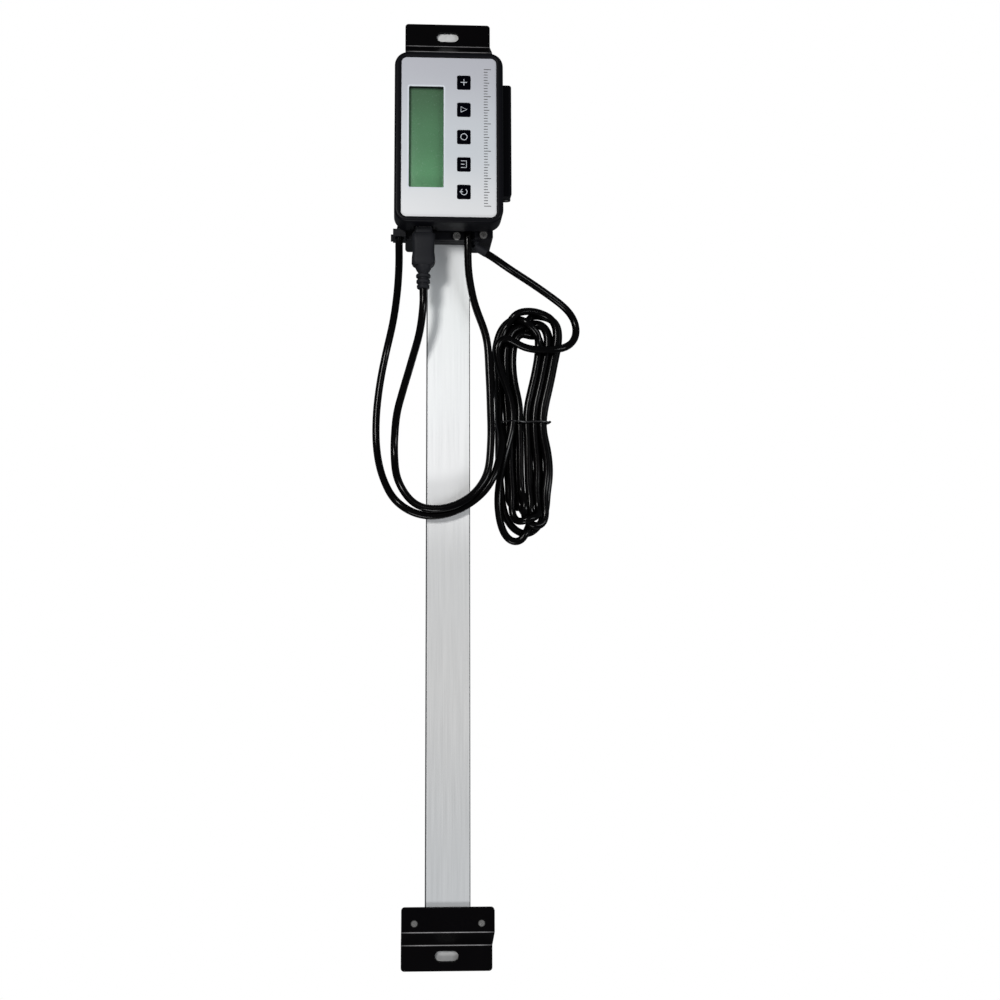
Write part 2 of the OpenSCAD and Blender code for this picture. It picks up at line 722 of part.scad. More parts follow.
module face_overlay() {
    color([0.80, 0.81, 0.84]) at_case() difference() {
        rounded_block(overlay_w, overlay_l, overlay_r, plate_z, plate_z + overlay_t);
        translate([window_x, 0, 0])
            rounded_block(window_w, window_l, 0.5, plate_z - e, plate_z + overlay_t + e);
        for (p = key_places()) translate([p[0], p[1], 0])
            rounded_block(key_w + 2 * fit, key_l + 2 * fit, 0.7, plate_z - e, plate_z + overlay_t + e);
    }
}

module lcd_window() {
    color([0.75, 0.85, 0.78]) at_case() translate([window_x, 0, 0])
        rounded_block(window_w + 2 * window_lip, window_l + 2 * window_lip, 0.5,
            plate_z - plate_t - window_t, plate_z - plate_t);
}

module lcd_module() {
    color([0.36, 0.52, 0.38]) at_case() translate([window_x, 0, 0])
        rounded_block(window_w + 3.6, window_l + 3.6, 0.5, split_z, plate_z - plate_t - window_t);
}

module display_board() {
    color(pcb_green) at_case() difference() {
        rounded_block(case_w - 2 * case_wall - 1, case_l - 2 * case_wall - 1, 3.5, board_z, split_z);
        for (p = case_bosses()) translate([p[0], p[1], 0]) rod(m2 + 0.3, board_z - e, split_z + e);
    }
}

module tact_switches() {
    color("lightgray") at_case() for (p = key_places()) translate([p[0], p[1], 0]) {
        rounded_block(4.5, 4.5, 0.3, split_z, split_z + 0.6);
        rod(1.8, split_z, split_z + 0.75);
    }
}

module battery_contacts() {
    color("gold") at_case() {
        block(-2, 2, cell_y - 6, cell_y + 6, board_z - 0.25, board_z);
        for (x = [-1, 1]) block(x * (cell_d / 2 + 1.1) - 0.4, x * (cell_d / 2 + 1.1) + 0.4,
            cell_y - 4, cell_y + 4, board_z - 2.4, board_z);
    }
}

module coin_cell() {
    z0 = case_z + floor_t + 0.1;
    color(steel) at_case() translate([0, cell_y, 0]) {
        rod(cell_d, z0, z0 + cell_t - 0.5);
        rod(cell_d - 2.4, z0, z0 + cell_t);
    }
}

module data_socket() {
    color(steel) at_case() difference() {
        block(plug_x - case_x - 4, plug_x - case_x + 4, -case_l / 2 + case_wall + 0.1,
            -case_l / 2 + case_wall + 8.6, plug_z - shell_t / 2 - 0.3, board_z);
        socket_cut(shell_w + fit, shell_t + fit, shell_in + 0.2);
    }
}

module case_screws() {
    color(steel) at_case() for (p = case_bosses()) translate([p[0], p[1], 0]) difference() {
        union() {
            rod(3.6, case_z + 0.1, case_z + 1.2);
            rod(m2, case_z + 1.2 - e, split_z + 2.8);
        }
        rod(1.2, case_z, case_z + 0.7);
    }
}

module battery_cover() {
    color(black) at_case() difference() {
        union() {
            block(-door_w / 2, door_w / 2, door_y + fit, case_l / 2 - 0.8, case_z, case_z + 1.3);
            block(-door_w / 2 - rail, door_w / 2 + rail, door_y + fit, case_l / 2 - 0.8,
                case_z + 0.6, case_z + 1.1);
        }
        for (i = [0 : 4]) block(-6, 6, case_l / 2 - 4 - i * 1.4, case_l / 2 - 3.4 - i * 1.4,
            case_z - e, case_z + 0.4);
    }
}

// a key in its place, counted from the plug's end of the face
module key(i) {
    under = plate_z - plate_t;
    color(black) at_case() translate([key_places()[i][0], key_places()[i][1], 0]) {
        rounded_block(key_w, key_l, 0.6, under - 0.5, plate_z + overlay_t + 0.3);
        rounded_block(key_w + 1, key_l + 1, 0.6, under - 1.2, under - 0.3);
        rod(2.4, split_z + 0.75 + key_travel + fit, under - 1.1);
    }
}

module key_on_off() { key(0); }
module key_units() { key(1); }
module key_zero() { key(2); }
module key_set() { key(3); }
module key_abs() { key(4); }

// --- plug ---------------------------------------------------------------------------------

module plug_shell() {
    color(steel) difference() {
        block(plug_x - shell_w / 2, plug_x + shell_w / 2, grip_y1, grip_y1 + shell_in,
            plug_z - shell_t / 2, plug_z + shell_t / 2);
        block(plug_x - shell_w / 2 + 0.4, plug_x + shell_w / 2 - 0.4, grip_y1 + 3, grip_y1 + shell_in + e,
            plug_z - shell_t / 2 + 0.4, plug_z + 0.3);
    }
}

module plug_body() {
    r = 2;
    color(soft_black) translate([plug_x, grip_y1, plug_z]) rotate([90, 0, 0])
        linear_extrude(plug_l) rounded(plug_w, plug_t, r);
}

module plug_boot() {
    root_r = 3.9;
    color(soft_black) translate([plug_x, grip_y0, plug_z]) rotate([90, 0, 0]) rotate_extrude()
        polygon([[0, 0], [root_r * 0.92, 0], [root_r * 0.92, 1], [3.2, 4.4], [2.3, 4.6], [2.3, 5.3],
            [3.15, 5.5], [3.15, 8.2], [2.7, boot_l - 0.3], [2.3, boot_l], [0, boot_l]]);
}

// --- cable --------------------------------------------------------------------------------

module cable_tail() { color(black) swept(placed(main_route), cable_r, 9, 0, tail_end); }

module cable_feed() {
    color(black) swept(placed(main_route), cable_r, 55, tail_end, len(main_route) - 1);
}

module cable_return() {
    color(black) swept(placed(return_route), cable_r, 15, 0, len(return_route) - 1);
}

module tie_ring(grow) {
    span = hank_lobes[1][2];
    x = hank_lobes[1][0];
    bar(tie_y - tie_w / 2 - grow, tie_y + tie_w / 2 + grow) difference() {
        translate([x - span - 0.3, 0]) square([2 * span + 0.6, hank_h + 0.7]);
        translate([x - span + tie_t, tie_t]) square([2 * (span - tie_t), hank_h - 2 * tie_t]);
    }
}

// where the turns take in the two ends of the cable, each a short round stub on a web
module hank_stub(at, turn) {
    translate([at[0], head_y0 - at[1], 0]) rotate(turn) {
        translate([0, 0, stub_z]) rotate([90, 0, 0]) rotate(180 / 16) cylinder(r = cable_r, h = 1.7);
        block(-0.9, 0.9, -1.7, 0, hank_h - 1, stub_z);
    }
}

module cable_hank() {
    lobes = [for (p = hank_lobes) [p[0], head_y0 - p[1], p[2]]];
    color(black) difference() {
        union() {
            linear_extrude(hank_h) for (i = [0 : 2]) lobe_pair(lobes[i], lobes[i + 1]);
            hank_stub([side + 6, 80.3], 0);
            hank_stub([side + 5.8, 44.7], 90);
        }
        tie_ring(0.05);
    }
}

module hank_tie() { color("dimgray") tie_ring(0); }

scale_beam();
grating_strip();
beam_face_strip();
upper_end_bracket();
lower_end_bracket();
upper_clamp_plate();
lower_clamp_plate();
bracket_screws();
head_housing();
head_lid();
head_rear_cover();
lid_screws();
rear_cover_screws();
reader_board();
reader_sensor();
end_wipers();
slide_pads();
gib_strip();
gib_screws();
cable_clamp();
clamp_screw();
cable_gland();
cable_clip();
clip_screw();
display_base_plate();
base_magnets();
hinge_pin();
display_rear_case();
display_front_case();
face_overlay();
lcd_window();
lcd_module();
display_board();
tact_switches();
battery_contacts();
coin_cell();
data_socket();
case_screws();
battery_cover();
key_on_off();
key_units();
key_zero();
key_set();
key_abs();
plug_shell();
plug_body();
plug_boot();
cable_tail();
cable_feed();
cable_return();
cable_hank();
hank_tie();
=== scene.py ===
"""Linear scale with a remote digital readout: its cable, its case, its surfaces and its stage."""

import math

import bmesh
import bpy
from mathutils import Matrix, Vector
from mathutils.kdtree import KDTree


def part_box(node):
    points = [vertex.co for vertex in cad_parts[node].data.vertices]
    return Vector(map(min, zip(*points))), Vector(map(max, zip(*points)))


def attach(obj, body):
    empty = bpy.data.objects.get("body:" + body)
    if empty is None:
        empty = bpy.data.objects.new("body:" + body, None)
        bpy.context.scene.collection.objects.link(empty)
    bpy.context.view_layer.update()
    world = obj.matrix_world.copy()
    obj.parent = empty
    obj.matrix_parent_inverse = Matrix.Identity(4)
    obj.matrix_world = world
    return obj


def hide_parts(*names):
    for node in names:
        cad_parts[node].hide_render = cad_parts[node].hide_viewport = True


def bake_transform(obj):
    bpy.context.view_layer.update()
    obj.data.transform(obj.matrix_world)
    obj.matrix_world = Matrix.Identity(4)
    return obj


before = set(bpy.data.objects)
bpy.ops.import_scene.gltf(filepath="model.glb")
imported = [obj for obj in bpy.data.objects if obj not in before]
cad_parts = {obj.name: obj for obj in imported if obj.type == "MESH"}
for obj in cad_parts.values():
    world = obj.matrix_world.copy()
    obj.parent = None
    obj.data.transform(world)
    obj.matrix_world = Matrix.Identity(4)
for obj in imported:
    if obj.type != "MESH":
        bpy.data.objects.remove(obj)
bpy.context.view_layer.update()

bl_info = {
    "name": "Linear scale readout",
    "version": (1, 0, 0),
    "blender": (4, 5, 0),
    "location": "View3D > Sidebar > Scale",
    "description": "Builds the cable, the display and the surfaces of a linear scale on its packed frame",
    "category": "Add Mesh",
}

MM = 0.001

KEYS = ["key_on_off", "key_units", "key_zero", "key_set", "key_abs"]

# The cable's route in millimetres: the part's own points where it isn't coiled.
TAIL = [(-11.8, 80.2, 27.2), (-11.8, 73.7, 27.2), (-13.2, 62.2, 24), (-16.8, 49.2, 19.9),
        (-20.4, 37.2, 16.4), (-22.8, 28.2, 14.4), (-23.8, 20.2, 12.2)]
FEED = [(-23.8, 20.2, 12.2), (-24, 8.2, 11.4), (-22, -3.8, 15.8), (-14, -14, 17.4), (-2, -15.3, 18.6),
        (9, -10.4, 18.6), (16.4, -1.2, 17.2), (18.7, 14.2, 15.9), (18.6, 30.2, 15.9), (18, 46.2, 15.9),
        (16.8, 61.6, 15.9), (11.4, 77.2, 16.8), (8.6, 91.2, 19.1), (8.1, 104.2, 21.3), (7.2, 112, 21.3),
        (1.2, 118.4, 21.3), (-7.2, 120.6, 21.3), (-15.4, 118.4, 21.3), (-20.9, 112.6, 21.3),
        (-22.4, 105.8, 20.9), (-22.4, 96.2, 17.4), (-23.1, 84.2, 10.4), (-25, 71.2, 5), (-28.2, 57.2, 1.9),
        (-30.8, 43.2, 1.8), (-32.4, 27.2, 1.8), (-32, 12.2, 3.2), (-28.8, -1.8, 9.4), (-22.6, -12.6, 15.7),
        (-13, -17.9, 15.9), (-2, -17.9, 15.9), (8.6, -13.4, 15.9), (16.4, -6.6, 15.9), (20.8, 1.4, 15.6),
        (23, 9.4, 13), (24.4, 17, 9.4)]
RETURN = [(22.7, 52, 9.4), (22, 58.6, 9.9), (24.2, 63.2, 10), (28.4, 62.4, 9.8), (32.6, 59.6, 9.2),
          (38, 58.4, 8.7), (45, 58, 8.5), (51.6, 58.9, 7.9), (56.6, 61.8, 5), (59.6, 67.6, 2.4),
          (58.4, 74.4, 1.9), (54.4, 79.2, 2.8), (46.4, 84.4, 5.6), (36.6, 89.5, 10), (26.4, 94.5, 14.4),
          (20.8, 98, 15.7), (16.6, 100.6, 15.8)]
# The hank, in millimetres. Each side has an outer and an inner run; a strand lies in a column from 0 (outer)
# to 2 (inner) and in the lower or the upper layer.
LEFT_RUN = [[(23.4, -8), (22.2, 5), (22, 25), (22, 34), (22, 47), (22.3, 56), (23.6, 62.5)],
            [(32, -5), (31.8, 5), (32, 25), (31, 34), (28.4, 47), (27.4, 56), (28, 61)]]
RIGHT_RUN = [[(51.3, 69), (50.9, 60), (47.3, 47), (44.4, 34), (43.6, 25), (46, 12), (46.7, 2), (45.4, -8)],
             [(43.2, 62), (42.9, 57), (42.2, 47), (39, 34), (37.4, 25), (37.4, 12), (37.8, 2), (38, -5)]]
LAYERS = (1.8, 4.85)
LAYER_INSET = 1.5
# Each turn: its left strand, its right strand, how far its top fold reaches, how far the fold under it
# reaches, and how high that one rises over the others.
TURNS = [((0, 1), (0, 1), 75, -22.3, 2.5), ((2, 1), (2, 0), 69.3, -14.5, 0),
         ((1.1, 0), (1, 0), 72.2, -18.4, 1.6), ((2, 0), (1, 1), 71, -21.8, 2.8),
         ((1, 1), (0, 0), 74.3, -25.4, 0.8), ((0.3, 0), (2, 1), 73.2, 0, 0)]
TIGHTEST = 5.4
LAST_BOTTOM = [(38.4, -12), (38, -18), (36, -24.4), (32, -29.6), (27.4, -28.2), (24.3, -22.4), (22.8, -14)]
LAST_RUN = [(23, -5, 6.2), (25.4, 8, 8), (29.2, 25, 8.2), (28, 36, 8.3), (25, 45, 8.7)]
TIE_Y = 25.2


class ScaleLookSettings(bpy.types.PropertyGroup):
    """The few sizes that the pieces made here share."""

    cable_diameter: bpy.props.FloatProperty(
        name="Cable diameter", description="Outer diameter of the cable's jacket",
        default=0.0034, min=0.002, max=0.006, unit="LENGTH")
    cable_length: bpy.props.FloatProperty(
        name="Cable length", description="Length of the cable from its stiff tail to the gland",
        default=1.82, min=0.5, max=5, unit="LENGTH")
    rim_radius: bpy.props.FloatProperty(
        name="Rim radius", description="Rounding of the display's rim",
        default=0.0012, min=0.0002, max=0.002, unit="LENGTH")
    jacket_sides: bpy.props.IntProperty(
        name="Jacket sides", description="Sides of the cable's round section",
        default=14, min=8, max=32)
    jacket_colour: bpy.props.FloatVectorProperty(
        name="Jacket colour", description="Colour of the cable's jacket",
        default=(0.0008, 0.0007, 0.0008), min=0, max=1, subtype="COLOR")
    case_colour: bpy.props.FloatVectorProperty(
        name="Case colour", description="Colour of the display's case",
        default=(0.0026, 0.0026, 0.004), min=0, max=1, subtype="COLOR")


def settings():
    """The sizes and colours that the operators share."""
    return bpy.context.scene.scale_look


# --- geometry -----------------------------------------------------------------------------


def centre_and_size(node):
    """Centre and size of a CAD node's box, as vectors in metres."""
    low, high = (Vector(v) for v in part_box(node))
    return (low + high) / 2, high - low


def add_piece(name, verts, faces, material, body, replaces=(), smooth=True, sharp=40):
    """A mesh in the row frame that rides on a body and stands for the named nodes."""
    mesh = bpy.data.meshes.new(name)
    mesh.from_pydata([tuple(v) for v in verts], [], faces)
    mesh.update()
    return finish_piece(bpy.data.objects.new(name, mesh), material, body, replaces, smooth, sharp)


def finish_piece(piece, material, body, replaces=(), smooth=True, sharp=40):
    """Cleans a piece's mesh, shades it, gives it its material, sets it on its body and hides the nodes that
    it stands for.
    """
    bpy.context.scene.collection.objects.link(piece)
    tidy = bmesh.new()
    tidy.from_mesh(piece.data)
    bmesh.ops.remove_doubles(tidy, verts=tidy.verts, dist=1e-7)
    bmesh.ops.recalc_face_normals(tidy, faces=tidy.faces)
    limit = math.radians(sharp)
    for edge in tidy.edges:
        edge.smooth = edge.calc_face_angle(0) < limit
    for face in tidy.faces:
        face.smooth = smooth
    tidy.to_mesh(piece.data)
    tidy.free()
    piece.data.materials.clear()
    piece.data.materials.append(material)
    if body:
        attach(piece, body)
    if replaces:
        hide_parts(*replaces)
    return piece


def rounded_loop(width, length, radius, z, centre=(0, 0), steps=8):
    """Points of a rounded rectangle at height z, anticlockwise."""
    points = []
    for quarter, (sx, sy) in enumerate(((1, 1), (-1, 1), (-1, -1), (1, -1))):
        cx = centre[0] + sx * (width / 2 - radius)
        cy = centre[1] + sy * (length / 2 - radius)
        for k in range(steps + 1):
            angle = math.radians(90 * (quarter + k / steps))
            points.append((cx + radius * math.cos(angle), cy + radius * math.sin(angle), z))
    return points


def skin(loops, start_cap=True, end_cap=True):
    """A surface through loops that have as many points as each other."""
    count = len(loops[0])
    verts = [p for loop in loops for p in loop]
    faces = []
    for row in range(len(loops) - 1):
        for k in range(count):
            a, b = row * count + k, row * count + (k + 1) % count
            faces.append((a, b, b + count, a + count))
    if start_cap:
        faces.append(tuple(reversed(range(count))))
    if end_cap:
        last = (len(loops) - 1) * count
        faces.append(tuple(range(last, last + count)))
    return verts, faces


def rounded_slab(width, length, radius, z0, z1, edge, centre):
    """A slab with a rounded outline and rounded upper edges."""
    loops, edge_steps = [rounded_loop(width, length, radius, z, centre) for z in (z0, z1 - edge)], 3
    for k in range(1, edge_steps + 1):
        angle = math.radians(90 * k / edge_steps)
        inset = edge * (1 - math.cos(angle))
        loops.append(rounded_loop(width - 2 * inset, length - 2 * inset, max(radius - inset, edge / 4),
                                  z1 - edge + edge * math.sin(angle), centre))
    return skin(loops)


def flat_sheet(name, outlines, z0, z1, edge):
    """A thin sheet with holes: the first outline is its edge and the rest are its openings."""
    curve = bpy.data.curves.new(name, "CURVE")
    curve.dimensions = "2D"
    curve.fill_mode = "BOTH"
    curve.extrude = (z1 - z0) / 2 - edge
    curve.bevel_depth = edge
    curve.bevel_resolution = 2
    curve.offset = -edge
    for outline in outlines:
        spline = curve.splines.new("POLY")
        spline.points.add(len(outline) - 1)
        for point, at in zip(spline.points, outline):
            point.co = (at[0], at[1], 0, 1)
        spline.use_cyclic_u = True
    drawn = bpy.data.objects.new(name + "_outline", curve)
    bpy.context.scene.collection.objects.link(drawn)
    bpy.context.view_layer.update()
    mesh = bpy.data.meshes.new_from_object(drawn.evaluated_get(bpy.context.evaluated_depsgraph_get()))
    bpy.data.objects.remove(drawn)
    bpy.data.curves.remove(curve)
    for vertex in mesh.vertices:
        vertex.co.z += (z0 + z1) / 2
    mesh.name = name
    return bpy.data.objects.new(name, mesh)


def smooth_path(points, step, rounds=0):
    """A smooth line through points, resampled every step, then relaxed with its ends held."""
    points = [Vector(p) for p in points]
    ends = [2 * points[0] - points[1]] + points + [2 * points[-1] - points[-2]]
    line, parts = [], 24
    for a, b, c, d in zip(ends, ends[1:], ends[2:], ends[3:]):
        t1 = math.sqrt((b - a).length)
        t2 = t1 + math.sqrt((c - b).length)
        t3 = t2 + math.sqrt((d - c).length)
        for k in range(parts):
            t = t1 + (t2 - t1) * k / parts
            ab = a.lerp(b, t / t1)
            bc = b.lerp(c, (t - t1) / (t2 - t1))
            cd = c.lerp(d, (t - t2) / (t3 - t2))
            line.append(ab.lerp(bc, t / t2).lerp(bc.lerp(cd, (t - t1) / (t3 - t1)), (t - t1) / (t2 - t1)))
    line.append(points[-1])
    total = sum((q - p).length for p, q in zip(line, line[1:]))
    count = max(2, round(total / step))
    spaced, walked, index = [line[0]], 0.0, 0
    for k in range(1, count):
        target = total * k / count
        while walked + (line[index + 1] - line[index]).length < target:
            walked += (line[index + 1] - line[index]).length
            index += 1
        share = (target - walked) / (line[index + 1] - line[index]).length
        spaced.append(line[index].lerp(line[index + 1], share))
    spaced.append(line[-1])
    for _ in range(rounds):
        spaced = [spaced[0], spaced[1]] + [
            (p + 2 * q + r) / 4 for p, q, r in zip(spaced[1:], spaced[2:], spaced[3:])] + [spaced[-1]]
    return spaced


def nearest(line, place):
    """Number of the point of a line that is nearest to a place."""
    return min(range(len(line)), key=lambda k: (line[k] - place).length)


def tube(path, radius, sides):
    """Vertices and faces of a closed round tube along a path."""
    loops, up = [], Vector((0, 0, 1))
    for k, at in enumerate(path):
        ahead = (path[min(k + 1, len(path) - 1)] - path[max(k - 1, 0)]).normalized()
        across = ahead.cross(up).normalized()
        up = across.cross(ahead).normalized()
        loops.append([at + radius * (math.cos(2 * math.pi * s / sides) * across
                                     + math.sin(2 * math.pi * s / sides) * up) for s in range(sides)])
    return skin(loops)


def between(outer, inner, share):
    """The line that lies a share of the way from one line to another."""
    return [tuple(a + (b - a) * share for a, b in zip(p, q)) for p, q in zip(outer, inner)]


def settle(line, spacing, held, floor, wall, bend, rounds=60):
    """Moves strands that run into each other apart and eases bends tighter than bend, with the ends held.

    No point sinks under floor, and the strands that lie low beside the head's path stay beyond wall."""
    line = [p.copy() for p in line]
    step = (line[1] - line[0]).length
    skip, dip = 4 * round(spacing / step), step ** 2 / (2 * bend)
    near_wall, path_height = wall - 1.6, 13.5
    for _ in range(rounds):
        tree = KDTree(len(line))
        for k, p in enumerate(line):
            tree.insert(p, k)
        tree.balance()
        moves = [Vector() for _ in line]
        for k, p in enumerate(line):
            for q, j, distance in tree.find_range(p, spacing):
                if abs(k - j) > skip and distance > 1e-6:
                    moves[k] += (p - q) * (0.3 * (spacing - distance) / distance)
        for k in range(held, len(line) - held):
            line[k] += moves[k] * min(1, 0.4 / max(moves[k].length, 1e-6))
        for _ in range(3):
            even = [(line[k - 2] - 4 * line[k - 1] + 6 * line[k] - 4 * line[k + 1] + line[k + 2]) / 16
                    for k in range(held, len(line) - held)]
            for k, sway in enumerate(even):
                line[k + held] -= sway
        for k in range(held, len(line) - held):
            ease = (line[k - 1] + line[k + 1]) / 2 - line[k]
            if ease.length > dip:
                line[k] += ease * 0.8 * (1 - dip / ease.length)
        for k in range(len(even)):
            line[k + held].z = max(line[k + held].z, floor)
            if line[k + held].x > near_wall and line[k + held].z < path_height:
                line[k + held].x = max(line[k + held].x, wall)
    return line


def arch(start, end, crown, hump=0.0):
    """Points of a fold from start to end: straight legs, then a half oval that reaches crown in y."""
    half, reach = abs(end[0] - start[0]) / 2, crown - (start[1] + end[1]) / 2
    oval = math.copysign(min(abs(reach), half ** 2 / TIGHTEST), reach)
    legs = 0 if abs(reach - oval) > 2 else 1
    points = []
    for k in range(legs, 7 - legs):
        angle = math.radians(30 * k)
        share = (1 - math.cos(angle)) / 2
        points.append((start[0] + (end[0] - start[0]) * share,
                       start[1] + (end[1] - start[1]) * share + reach - oval + oval * math.sin(angle),
                       start[2] + (end[2] - start[2]) * share + hump * math.sin(angle)))
    return points


def strand(run, column, layer, inward):
    """One strand on a side of the hank, in its column and its layer."""
    return [(x + inward * LAYER_INSET * layer, y, LAYERS[layer]) for x, y in between(*run, column / 2)]


def hank_points():
    """The turns of the hank, from where the feed joins it to where the return leaves it."""
    points, low = [], ()
    for turn, ((left, left_layer), (right, right_layer), top, bottom, lift) in enumerate(TURNS):
        up = strand(LEFT_RUN, left, left_layer, 1)
        down = strand(RIGHT_RUN, right, right_layer, -1)
        if low:
            points += arch(points[-1], up[0], *low)
        low = (bottom, lift)
        points += [p for p in up if turn > 0 or p[1] > TIE_Y - 1]
        points += arch(up[-1], down[0], top, 0.5 * (turn % 2)) + down
    points += [(x, y, 4.85 + 0.2 * abs(k - 2)) for k, (x, y) in enumerate(LAST_BOTTOM)]
    return points + LAST_RUN


# --- materials ----------------------------------------------------------------------------


def node_group(name, inputs, outputs):
    """An empty shader group with its sockets, and its two end nodes."""
    group = bpy.data.node_groups.new(name, "ShaderNodeTree")
    for label, kind, value in inputs:
        socket = group.interface.new_socket(label, in_out="INPUT", socket_type=kind)
        if value is not None:
            socket.default_value = value
    for label, kind in outputs:
        group.interface.new_socket(label, in_out="OUTPUT", socket_type=kind)
    return group, group.nodes.new("NodeGroupInput"), group.nodes.new("NodeGroupOutput")


def variation_group():
    """Broad and fine unevenness of a surface, and the relief that goes with the fine part."""
    group, given, result = node_group(
        "Surface variation",
        [("Scale", "NodeSocketFloat", 1.0), ("Grain", "NodeSocketFloat", 900.0),
         ("Relief", "NodeSocketFloat", 0.2), ("Stretch", "NodeSocketVector", (1, 1, 1))],
        [("Broad", "NodeSocketFloat"), ("Fine", "NodeSocketFloat"), ("Normal", "NodeSocketVector")])
    links, nodes = group.links, group.nodes
    place = nodes.new("ShaderNodeTexCoord")
    stretch = nodes.new("ShaderNodeVectorMath")
    stretch.operation = "MULTIPLY"
    links.new(place.outputs["Object"], stretch.inputs[0])
    links.new(given.outputs["Stretch"], stretch.inputs[1])
    broad = nodes.new("ShaderNodeTexNoise")
    broad.inputs["Detail"].default_value = 4
    broad_scale = nodes.new("ShaderNodeMath")
    broad_scale.operation = "MULTIPLY"
    broad_scale.inputs[1].default_value = 60
    links.new(given.outputs["Scale"], broad_scale.inputs[0])
    links.new(broad_scale.outputs[0], broad.inputs["Scale"])
    links.new(stretch.outputs[0], broad.inputs["Vector"])
    fine = nodes.new("ShaderNodeTexNoise")
    fine.inputs["Detail"].default_value = 2
    links.new(given.outputs["Grain"], fine.inputs["Scale"])
    links.new(stretch.outputs[0], fine.inputs["Vector"])
    bump = nodes.new("ShaderNodeBump")
    bump.inputs["Distance"].default_value = 0.00006
    links.new(given.outputs["Relief"], bump.inputs["Strength"])
    links.new(fine.outputs["Fac"], bump.inputs["Height"])
    links.new(broad.outputs["Fac"], result.inputs["Broad"])
    links.new(fine.outputs["Fac"], result.inputs["Fine"])
    links.new(bump.outputs["Normal"], result.inputs["Normal"])
    return group


def wear_group():
    """A mask that is high where a surface turns sharply, broken up by noise."""
    group, given, result = node_group(
        "Edge wear", [("Radius", "NodeSocketFloat", 0.0004), ("Amount", "NodeSocketFloat", 0.5)],
        [("Mask", "NodeSocketFloat")])
    links, nodes = group.links, group.nodes
    rounded = nodes.new("ShaderNodeBevel")
    rounded.samples = 4
    links.new(given.outputs["Radius"], rounded.inputs["Radius"])
    flat = nodes.new("ShaderNodeNewGeometry")
    turn = nodes.new("ShaderNodeVectorMath")
    turn.operation = "DOT_PRODUCT"
    links.new(rounded.outputs["Normal"], turn.inputs[0])
    links.new(flat.outputs["Normal"], turn.inputs[1])
    sharp = nodes.new("ShaderNodeMapRange")
    sharp.inputs["From Min"].default_value = 0.98
    sharp.inputs["From Max"].default_value = 0.8
    links.new(turn.outputs["Value"], sharp.inputs["Value"])
    place = nodes.new("ShaderNodeTexCoord")
    noise = nodes.new("ShaderNodeTexNoise")
    noise.inputs["Scale"].default_value = 420
    noise.inputs["Detail"].default_value = 5
    links.new(place.outputs["Object"], noise.inputs["Vector"])
    broken = nodes.new("ShaderNodeMath")
    broken.operation = "MULTIPLY"
    links.new(sharp.outputs[0], broken.inputs[0])
    links.new(noise.outputs["Fac"], broken.inputs[1])
    amount = nodes.new("ShaderNodeMath")
    amount.operation = "MULTIPLY"
    links.new(broken.outputs[0], amount.inputs[0])
    links.new(given.outputs["Amount"], amount.inputs[1])
    links.new(amount.outputs[0], result.inputs["Mask"])
    return group


